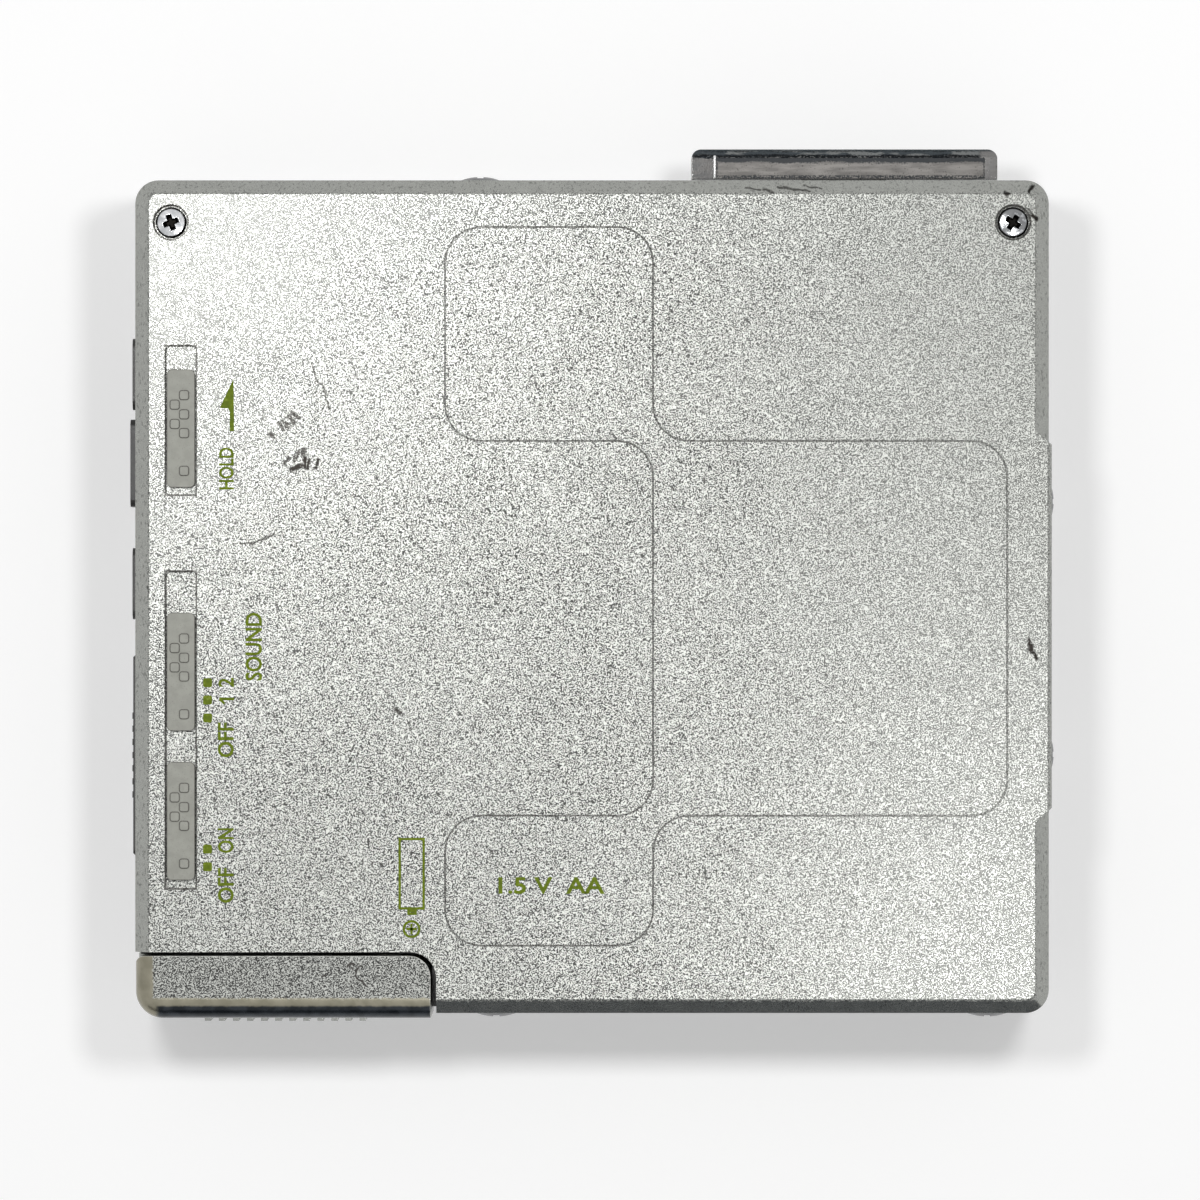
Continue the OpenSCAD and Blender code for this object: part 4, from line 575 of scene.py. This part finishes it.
dress(finish("zinc_plate", zinc_plate), "holder_screws", "board_screws", "chassis_screws")
dress(finish("shaded_zinc", shaded_zinc), "side_screws", "hinge_screws")
head_mesh = cut_mesh("cover_screws", stock("heads", heads), stock("crosses", crosses))
cover_screws = piece("cover_screws", "case", finish("smeared_shaded_zinc", smeared_shaded_zinc), head_mesh)
head_mesh.set_sharp_from_angle(angle=SHARP_EDGE)
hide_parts("case_screws")

# Battery door: a moulded and painted cap at one corner that swings on a pin. Its face has the cover's grain,
# its outer edges are rolled over and bare of grain, and ribs on its end give the thumb a hold.
DOOR_LEFT, DOOR_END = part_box("battery_door")[0].x / MM, -39.69
DOOR_GRAIN_X, DOOR_GRAIN_Y = (DOOR_LEFT + 1.7, DOOR_LEFT + 1.95), (DOOR_END + 1.95, DOOR_END + 2.2)
DOOR_GRAIN_Z = (PLATE_TOP - 0.3, PLATE_TOP - 0.1)
END_BAND_X, END_BAND_Y = (-41.4, -40.8), (DOOR_END + 1.15, DOOR_END + 1.4)
ROLL_HEIGHTS = (PLATE_TOP - 1.7, PLATE_TOP - 1.3)
DOOR_HIGHLIGHT_X, DOOR_HIGHLIGHT_Y = (-16.4, -15.8), (-35.2, -34.2)
DOOR_SCRATCHES = [(-22.9, -34.6, -21.6, -34.65), (-21.9, -34.9, -22.3, -35.4), (-22.3, -35.5, -21.2, -36.6),
                  (-25.4, -35.75, -25.1, -35.7), (-22.6, -34.9, -22.5, -35.0)]
DOOR_GRAIN, DOOR_HIGHLIGHT, DOOR_SCRATCH = (silver(0.02), silver(0.36)), silver(0.7), grey(0.03, 0.1)
ROLL_REFLECTION = (0.25, 0.235, 0.175, 1.0), (0.32, 0.3, 0.23, 1.0)
END_REFLECTION = (0.012, 0.016, 0.02, 1.0), (0.035, 0.042, 0.05, 1.0)


def along_edges(place, radius):
    """Mask of the strip beside each edge of the solid, within that radius."""
    rounded = place.node("Bevel", {"samples": 8}, {"Radius": radius * MM})
    return 1 - rounded.dot(place.node("NewGeometry", outlet="Normal"))


def door_paint(place):
    """Grain on the face, a painted beige reflection and a painted dark reflection band on the roll, smooth
    silver on the walls, a painted highlight along the top and right edges.
    """
    x, y, z = (place.axis(k) for k in range(3))
    wave = place.noise(lump=0.4, detail=1) * 0.3
    grained = (x + wave).rise(*DOOR_GRAIN_X) * (y + wave).rise(*DOOR_GRAIN_Y) * z.rise(*DOOR_GRAIN_Z)
    crest = sand_grain(place)
    haze = place.noise(lump=1.1, detail=3)
    # Painted reflections on the rolled edges: beige along the side, a dark band along the end.
    dark_reflection_band = (1 - (y + wave * 0.5).rise(*END_BAND_Y)) * (x - wave).rise(*END_BAND_X)
    roll_reflection = dark_reflection_band.mix(haze.rise().mix(*ROLL_REFLECTION), haze.rise(0.35, 0.65).mix(*END_REFLECTION))
    smooth_paint = z.rise(*ROLL_HEIGHTS).mix(smooth_silver(place), roll_reflection)
    paint = grained.mix(smooth_paint, crest.mix(*DOOR_GRAIN))
    # Painted highlight along the door's top and right edges.
    edge_reflection = along_edges(place, 0.16).rise(0.04, 0.2) * y.rise(*DOOR_HIGHLIGHT_Y).most(x.rise(*DOOR_HIGHLIGHT_X))
    dark_marks = strokes(place, DOOR_SCRATCHES, width=0.16) * place.noise(lump=0.2).rise(0.2, 0.4)
    return {"Base Color": dark_marks.mix(edge_reflection.mix(paint, DOOR_HIGHLIGHT), DOOR_SCRATCH), "Metallic": 0.6,
            "Roughness": grained * 0.2 + haze * 0.08 + 0.2,
            "Normal": dented(place, crest * grained * 0.7 + haze * 0.05, depth=0.0115)}


dress(finish("door_paint", door_paint), "battery_door")

# Slide switches: three moulded warm-grey caps that run in channels in the cover. Raised squares on each cap
# give the thumb a hold, and every edge is painted dark as painted shade.
CAP = (0.27, 0.272, 0.237, 1.0), (0.33, 0.333, 0.293, 1.0)
CAP_SPECK, CAP_EDGE_SHADE = grey(0.22, 0.06), grey(0.04, 0.15)


def slider_plastic(place):
    speckle = place.noise(lump=0.09, detail=1)
    handled = place.noise(lump=1.2, detail=2)
    # Painted shade: every edge of the caps and their squares is painted dark.
    edge_shade = along_edges(place, 0.16).rise(0.015, 0.15)
    colour = speckle.rise(0.64, 0.74).mix(handled.rise().mix(*CAP), CAP_SPECK)
    return {"Base Color": (edge_shade * 0.9).mix(colour, CAP_EDGE_SHADE), "Roughness": handled * 0.15 + 0.42,
            "Normal": dented(place, speckle, depth=0.008, edge=0.16)}


dress(finish("slider_plastic", slider_plastic), "hold_slider", "sound_slider", "limiter_slider")

# Control bar: a long rocker of chrome-plated plastic on the top edge, which shifts and presses. Its plating
# is dulled, and along the outer edge it is painted dark in ragged patches with near-black lines, a painted
# dark reflection. A thin plate with a rolled lip is set into its upper side; the plate is painted dark along
# its front edge, also a painted dark reflection.
BAR_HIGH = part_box("control_bar")[1] / MM
BAR_BACK = CASE_HALF[1] + 0.3
BAR_UPPER = (17.2, 17.6)
RIGHT_END = (BAR_HIGH.x - 1.9, BAR_HIGH.x - 1.4)
OUTER_BAND, OUTER_EDGE = (41.55, 41.7), (42.12, 42.22)
DARK_LINE_Y, DARK_LINE = 41.72, (0.12, 0.2)
PLATE_ENDS, PLATE_FRONT = (11.75, 37.2), 41.55
PLATE_REFLECTION_SPAN = (41.65, 41.85)
PLATE_BORDER = (*PLATE_ENDS, BAR_BACK + 0.25, PLATE_FRONT - 0.2)
PLATE_RISE, PLATE_ROUND = 0.09, 0.08
LIP_WIDTH, LIP_RISE, LIP_ROUND = 0.28, 0.2, 0.13
SET_IN = 0.1
DULL_CHROME, RIGHT_CHROME, PIT = (grey(0.14), grey(0.09, 0.03)), grey(0.22, 0.02), grey(0.03, 0.1)
OUTER_REFLECTION, LINE_CHROME = ((0.06, 0.072, 0.08, 1.0), (0.2, 0.21, 0.21, 1.0)), (0.004, 0.006, 0.008, 1.0)
PLATE, PLATE_DARK_EDGE, PLATE_PIT = (grey(0.17, 0.05), grey(0.3, 0.05)), (0.02, 0.026, 0.032, 1.0), grey(0.04, 0.1)
LIP = grey(0.75), grey(0.9)


def chrome_and_painted_reflection(place):
    """Streaked dull plating; along the outer edge a ragged dark band and near-black lines, a painted dark
    reflection.
    """
    streak = place.stretch([0.25, 1, 1]).noise(lump=0.5, detail=3)
    pitted = place.noise(lump=0.16, detail=2)
    dull = streak.rise(0.35, 0.65)
    upper = place.axis(2).rise(*BAR_UPPER)
    ragged = place.axis(1) + (streak + pitted - 1) * 0.5
    right_end = place.axis(0).rise(*RIGHT_END) * upper
    # Painted dark reflection: a ragged dark band with near-black lines along the outer edge.
    outer_reflection = ragged.rise(*OUTER_BAND) * (1 - right_end)
    lines = (1 - (ragged - DARK_LINE_Y).size().rise(*DARK_LINE)).most(ragged.rise(*OUTER_EDGE))
    lines = lines * upper * (1 - right_end) * pitted.rise(0.34, 0.46)
    reflection_patches = place.stretch([0.35, 1, 1]).noise(lump=0.9, detail=3).rise(0.5, 0.58) * upper
    colour = right_end.mix(dull.mix(*DULL_CHROME), RIGHT_CHROME)
    colour = lines.mix(outer_reflection.mix(colour, reflection_patches.mix(*OUTER_REFLECTION)), LINE_CHROME)
    return {"Base Color": pitted.rise(0.66, 0.7).mix(colour, PIT), "Metallic": 0.85,
            "Roughness": dull * 0.08 + 0.14,
            "Normal": dented(place, pitted * 0.5 + streak * 0.5, depth=0.01, edge=0.15)}


def bar_plate(place):
    streak = place.stretch([0.2, 1, 1]).noise(lump=0.45, detail=3)
    pitted = place.noise(lump=0.14, detail=2)
    # Painted dark reflection along the plate's front edge, and a darker line round its border.
    edge_reflection = (place.axis(1) + streak * 0.8 + pitted * 0.5).rise(*PLATE_REFLECTION_SPAN)
    border = box_line(place, PLATE_BORDER, 0.22) * pitted.rise(0.4, 0.52)
    colour = (edge_reflection.most(border) * 0.9).mix(streak.rise().mix(*PLATE), PLATE_DARK_EDGE)
    return {"Base Color": (pitted.rise(0.64, 0.7) * 0.8).mix(colour, PLATE_PIT), "Metallic": 0.15,
            "Roughness": streak * 0.2 + 0.45, "Specular IOR Level": 0.25,
            "Normal": dented(place, streak + pitted, depth=0.008, edge=0.05)}


def bright_lip(place):
    fine = place.noise(lump=0.2, detail=2)
    return {"Base Color": fine.rise().mix(*LIP), "Metallic": 0.9, "Roughness": fine * 0.1 + 0.15,
            "Normal": dented(place, fine, depth=0.006, edge=0.03)}


def rounded_bar(name, low, high, radius):
    """Block with rounded edges between two corners."""
    def fill(work):
        bmesh.ops.create_cube(work, size=1.0)
        for vertex in work.verts:
            for k in range(3):
                vertex.co[k] = (low[k] + (vertex.co[k] + 0.5) * (high[k] - low[k])) * MM
        bmesh.ops.bevel(work, geom=work.edges[:], offset=radius * MM, segments=4, profile=0.5, affect="EDGES")
        for face in work.faces:
            face.smooth = True
    return stock(name, fill)


dress(finish("chrome_and_painted_reflection", chrome_and_painted_reflection), "control_bar")
plate = rounded_bar("bar_plate", (PLATE_ENDS[0], BAR_BACK + 0.1, BAR_HIGH.z - SET_IN),
                    (PLATE_ENDS[1], PLATE_FRONT, BAR_HIGH.z + PLATE_RISE), PLATE_ROUND)
piece("bar_plate", "control_bar", finish("bar_plate", bar_plate), plate)
lip = rounded_bar("bar_lip", (PLATE_ENDS[0] - LIP_WIDTH, BAR_BACK + 0.05, BAR_HIGH.z - SET_IN),
                  (PLATE_ENDS[0], PLATE_FRONT + 0.25, BAR_HIGH.z + LIP_RISE), LIP_ROUND)
piece("bar_lip", "control_bar", finish("bright_lip", bright_lip), lip)

# Keys of the latch wall: the ribbed open slider and the two volume keys, moulded in dark grey plastic and
# handled to a satin shine.
KEY = grey(0.02, 0.02), grey(0.045, 0.02)


def key_plastic(place):
    haze = place.noise(lump=0.9, detail=2)
    fine = place.noise(lump=0.1, detail=1)
    return {"Base Color": haze.rise().mix(*KEY), "Roughness": haze * 0.15 + 0.35,
            "Normal": dented(place, fine, depth=0.005, edge=0.12)}


dress(finish("key_plastic", key_plastic), "open_slider", "volume_up_key", "volume_down_key")

# Black mouldings: the socket for headphones and remote, the battery tube, the control carriage, the lens
# actuator and the chips, all of satin black plastic. A thin black sheet, an L in plan, lies under the gap
# round
# the battery door: painted shade, so that the gap shows dark.
BLACK = grey(0.012), grey(0.03, 0.03)
GAP_SHADE_TOP, GAP_SHADE_BOTTOM = PLATE_TOP - 4.0, PLATE_TOP - 5.0
GAP_SHADE_OUTLINE = [(-42.6, -33.5), (-42.6, -33.74), (-15.14, -33.74), (-15.14, -38.7), (-14.7, -38.7),
            (-14.7, -33.5)]


def black_plastic(place):
    fine = place.noise(lump=0.12, detail=2)
    dusty = place.noise(lump=1.6, detail=3).rise(0.5, 0.8)
    return {"Base Color": dusty.mix(*BLACK), "Roughness": fine * 0.2 + 0.32,
            "Normal": dented(place, fine, depth=0.006, edge=0.1)}


black = finish("black_plastic", black_plastic)
dress(black, "headphone_jack", "control_carriage", "battery_tube", "board_chips", "lens_actuator")
# Painted shade: a black sheet under the gap round the battery door.
piece("gap_shade_sheet", "case", black, sheet_mesh("gap_shade_sheet", [GAP_SHADE_OUTLINE], GAP_SHADE_BOTTOM, GAP_SHADE_TOP))

# Lid and side frame: the lid is drawn from aluminium sheet and brushed, and the frame between lid and cover
# is a moulding painted dark silver.
LID = grey(0.5, -0.01), grey(0.62)
FRAME_PAINT = grey(0.17, -0.04), grey(0.23, -0.03)


def satin_aluminium(place):
    brushed = place.stretch([0.04, 1, 1]).noise(lump=0.08, detail=2)
    haze = place.noise(lump=3, detail=2)
    return {"Base Color": (brushed * 0.6 + haze * 0.4).rise().mix(*LID), "Metallic": 0.9,
            "Roughness": brushed * 0.15 + 0.27, "Normal": dented(place, brushed, depth=0.004)}


def frame_paint(place):
    haze = place.noise(lump=1.3, detail=3)
    fine = place.noise(lump=0.12, detail=1)
    return {"Base Color": (haze * 0.3 + fine * 0.7).rise().mix(*FRAME_PAINT), "Metallic": 0.6,
            "Roughness": haze * 0.08 + 0.32, "Normal": dented(place, fine, depth=0.005)}


dress(finish("satin_aluminium", satin_aluminium), "lid")
dress(finish("frame_paint", frame_paint), "side_frame")

# Sheet metal parts: disc holder, catch, latch bar, hinge bracket, drive chassis, motor cans, turntable and
# switch cases, stamped from plated steel with the rolling lines of the sheet.
SHEET = grey(0.48, 0.02), grey(0.62)


def plated_sheet(place):
    rolled = place.stretch([1, 0.05, 1]).noise(lump=0.1, detail=2)
    stain = place.noise(lump=4, detail=3)
    return {"Base Color": (rolled * 0.5 + stain * 0.5).rise().mix(*SHEET), "Metallic": 1.0,
            "Roughness": rolled * 0.2 + stain * 0.1 + 0.15, "Normal": dented(place, rolled, depth=0.003)}


dress(finish("plated_sheet", plated_sheet), "disc_holder", "lid_catch", "latch_bar", "hinge_bracket",
      "drive_chassis", "motor_cup", "sled_motor", "volume_switches", "slide_switches", "control_switches",
      "turntable")

# Pins and shafts: rods of ground steel. They carry the hinges, guide the pickup on its way and drive it as
# the lead screw.
STEEL = grey(0.45), grey(0.58)


def ground_steel(place):
    ground = place.stretch([1, 0.08, 1]).noise(lump=0.06, detail=1)
    return {"Base Color": ground.rise().mix(*STEEL), "Metallic": 1.0, "Roughness": ground * 0.2 + 0.12,
            "Normal": dented(place, ground, depth=0.002)}


dress(finish("ground_steel", ground_steel), "hinge_pins", "battery_door_pin", "main_guide_shaft",
      "sub_guide_shaft", "lead_screw")

# Spring parts: the leaf springs that hold the disc down and both cell contacts, bent from brass strip and
# wire.
BRASS = (0.56, 0.43, 0.2, 1.0), (0.72, 0.58, 0.31, 1.0)


def spring_brass(place):
    brushed = place.stretch([0.06, 1, 1]).noise(lump=0.09, detail=2)
    tarnish = place.noise(lump=2.5, detail=2)
    bright = (brushed * 0.6 + tarnish * 0.4).rise()
    return {"Base Color": bright.mix(*BRASS), "Metallic": 1.0, "Roughness": 0.36 - bright * 0.1,
            "Normal": dented(place, brushed, depth=0.003)}


dress(finish("spring_brass", spring_brass), "disc_springs", "positive_contact", "negative_spring")

# Boards: glass-fibre boards under green resist, screwed in, with the copper runs showing through as paler
# lines.
RESIST = (0.012, 0.07, 0.03, 1.0), (0.03, 0.17, 0.07, 1.0)
RUNS_PER_MM = 0.7


def board_resist(place):
    cells = place.node("TexVoronoi", {"distance": "MANHATTAN", "feature": "F1"},
                       {"Vector": place.stretch([1, 1, 0]), "Scale": RUNS_PER_MM})
    run = cells.rise(0.45, 0.5) - cells.rise(0.58, 0.63)
    weave = place.noise(lump=0.2, detail=1)
    return {"Base Color": run.mix(*RESIST), "Roughness": weave * 0.15 + 0.22,
            "Normal": dented(place, run + weave * 0.2, depth=0.01)}


dress(finish("board_resist", board_resist), "switch_board", "control_board", "main_board")

# Small drive parts: rubber dampers, coils of enamelled wire, a sintered magnet, the cast pickup sled, moulded
# gears and the coated lens.
RUBBER, MAGNET, ALLOY = (grey(0.012), grey(0.05)), (grey(0.05), grey(0.1)), (grey(0.34), grey(0.46))
ENAMEL = (0.25, 0.08, 0.03, 1.0), (0.6, 0.25, 0.1, 1.0)
IVORY = (0.62, 0.55, 0.42, 1.0), (0.74, 0.68, 0.55, 1.0)
LENS = (0.25, 0.35, 0.6, 1.0), (0.4, 0.5, 0.75, 1.0)
WIRE_PITCH = 2 * math.pi / 40


def damper_rubber(place):
    bloom = place.noise(lump=0.4, detail=3)
    return {"Base Color": bloom.rise(0.4, 0.8).mix(*RUBBER), "Roughness": bloom * 0.2 + 0.6,
            "Normal": dented(place, bloom, depth=0.02)}


def coil_wire(place):
    turns = place.maths("SINE", place.axis(2) * (2 * math.pi / WIRE_PITCH))
    shade = place.noise(lump=0.5, detail=2)
    return {"Base Color": (turns * 0.5 + shade).rise(0.2, 0.9).mix(*ENAMEL), "Metallic": 0.8,
            "Roughness": shade * 0.2 + 0.25, "Normal": dented(place, turns, depth=0.04)}


def sintered_magnet(place):
    grains = place.noise(lump=0.1, detail=2)
    return {"Base Color": grains.rise().mix(*MAGNET), "Metallic": 0.4, "Roughness": grains * 0.2 + 0.4,
            "Normal": dented(place, grains, depth=0.01)}


def cast_alloy(place):
    skin = place.noise(lump=0.3, detail=3)
    return {"Base Color": skin.rise().mix(*ALLOY), "Metallic": 0.9, "Roughness": skin * 0.2 + 0.35,
            "Normal": dented(place, skin, depth=0.015)}


def moulded_ivory(place):
    skin = place.noise(lump=0.4, detail=2)
    return {"Base Color": skin.rise().mix(*IVORY), "Roughness": skin * 0.15 + 0.35,
            "Normal": dented(place, skin, depth=0.006)}


def coated_lens(place):
    coat = place.noise(lump=1.5, detail=1)
    return {"Base Color": coat.rise().mix(*LENS), "Roughness": coat * 0.04 + 0.02, "IOR": 1.5,
            "Transmission Weight": 0.6, "Coat Weight": 1.0}


dress(finish("damper_rubber", damper_rubber), "chassis_dampers")
dress(finish("coil_wire", coil_wire), "motor_coils")
dress(finish("sintered_magnet", sintered_magnet), "rotor_magnet")
dress(finish("cast_alloy", cast_alloy), "pickup_sled")
dress(finish("moulded_ivory", moulded_ivory), "sled_gear", "sled_pinion")
dress(finish("coated_lens", coated_lens), "objective_lens")

# Studio: a white sweep under the player, with a dark card low in front and a hood round the lens that only
# reflections see. Two lamps high above throw the shadows and two more show only in gloss. The camera looks
# straight down through a long lens. Places here are in metres.
FLOOR_HALF = 2.0
SHADOWED_FLOOR, PLAIN_FLOOR = grey(0.82), grey(0.75)
GLOW, GLOW_REACH = (grey(0.28), grey(0.42)), (0.3, 0.9)
CARD, CARD_HALF, CARD_Y, CARD_LOW, CARD_HIGH = (0.02, 0.03, 0.045, 1.0), 0.3, -0.3, 0.01, 0.12
HOOD_HALF, HOOD_HEIGHT = 0.05, 0.9
AIR, BACKDROP = grey(0.4), grey(0.75)
scene = bpy.context.scene
scene.view_settings.view_transform = "Standard"


def seen_as_white(tree):
    """1 for rays that show a background, seen directly, in a reflection or through glass."""
    camera, glossy, passed = (Wire(tree).node("LightPath", outlet=ray)
                              for ray in ("Is Camera Ray", "Is Glossy Ray", "Is Transmission Ray"))
    return camera.most(glossy).most(passed)


floor_finish = bpy.data.materials.new("white_sweep")
floor_finish.use_nodes = True
floor_tree = floor_finish.node_tree
floor_tree.nodes.clear()
ground = Wire(floor_tree)
far_out = ground.node("TexCoord", outlet="Object").length()
shadowed = ground.node("BsdfDiffuse", {}, {"Color": SHADOWED_FLOOR})
glow = ground.node("Emission", {}, {"Color": far_out.rise(*GLOW_REACH).mix(*GLOW), "Strength": 1.0})
plain = ground.node("BsdfDiffuse", {}, {"Color": PLAIN_FLOOR})
white = ground.node("AddShader", {}, {0: shadowed, 1: glow})
sweep = ground.node("MixShader", {}, {0: seen_as_white(floor_tree), 1: plain, 2: white})
ground.node("OutputMaterial", {}, {"Surface": sweep})


def plane(name, corners, material):
    """Flat sheet of the studio, not part of the player."""
    mesh = bpy.data.meshes.new(name)
    mesh.from_pydata(corners, [], [(0, 1, 2, 3)])
    mesh.materials.append(material)
    made = bpy.data.objects.new(name, mesh)
    scene.collection.objects.link(made)
    return made


def lying(half, height):
    """Corners of a level square."""
    return [(x, y, height) for x, y in frame_points(-half, half, -half, half)]


plane("floor", lying(FLOOR_HALF, 0), floor_finish)
card_finish = bpy.data.materials.new("dark_card")
card_finish.use_nodes = True
card_finish.node_tree.nodes["Principled BSDF"].inputs["Base Color"].default_value = CARD
card_corners = [(x, CARD_Y, z) for x, z in frame_points(-CARD_HALF, CARD_HALF, CARD_LOW, CARD_HIGH)]
for shade in (plane("dark_card", card_corners, card_finish),
              plane("lens_hood", lying(HOOD_HALF, HOOD_HEIGHT), card_finish)):
    shade.visible_camera = False
    shade.visible_diffuse = False
    shade.visible_shadow = False

world = bpy.data.worlds.new("studio")
scene.world = world
world.use_nodes = True
world.node_tree.nodes.clear()
sky = Wire(world.node_tree)
air = sky.node("Background", {}, {"Color": AIR, "Strength": 1.0})
backdrop = sky.node("Background", {}, {"Color": BACKDROP, "Strength": 1.0})
seen = sky.node("MixShader", {}, {0: seen_as_white(world.node_tree), 1: air, 2: backdrop})
sky.node("OutputWorld", {}, {"Surface": seen})


def lamp(name, spot, size, watts, shines=True, lights=True):
    """Round soft lamp aimed at the player. Shines: seen in its gloss. Lights: falls on its matt side."""
    light = bpy.data.lights.new(name, "AREA")
    light.shape = "DISK"
    light.size = size
    light.energy = watts
    made = bpy.data.objects.new(name, light)
    scene.collection.objects.link(made)
    made.location = spot
    made.rotation_euler = (-Vector(spot)).to_track_quat("-Z", "Y").to_euler()
    made.visible_glossy = shines
    made.visible_diffuse = lights


lamp("left_lamp", (-0.062, 0.066, 0.42), size=0.05, watts=0.45)
lamp("right_lamp", (0.075, 0.066, 0.42), size=0.05, watts=0.45, shines=False)
lamp("left_shine", (-0.075, 0.08, 0.45), size=0.06, watts=0.09, lights=False)
lamp("low_shine", (0.07, -0.07, 0.45), size=0.06, watts=0.3, lights=False)

PIXEL = 0.094
FRAME_PIXELS = 1200
VIEW_X, VIEW_Y, VIEW_DISTANCE = 0.75, -0.31, 800.0
lens = bpy.data.cameras.new("long_lens")
lens.sensor_width = 36.0
lens.lens = lens.sensor_width * VIEW_DISTANCE / (PIXEL * FRAME_PIXELS)
lens.clip_start = 0.01
camera = bpy.data.objects.new("camera", lens)
scene.collection.objects.link(camera)
camera.location = (VIEW_X * MM, VIEW_Y * MM, (PLATE_TOP + VIEW_DISTANCE) * MM)
scene.camera = camera
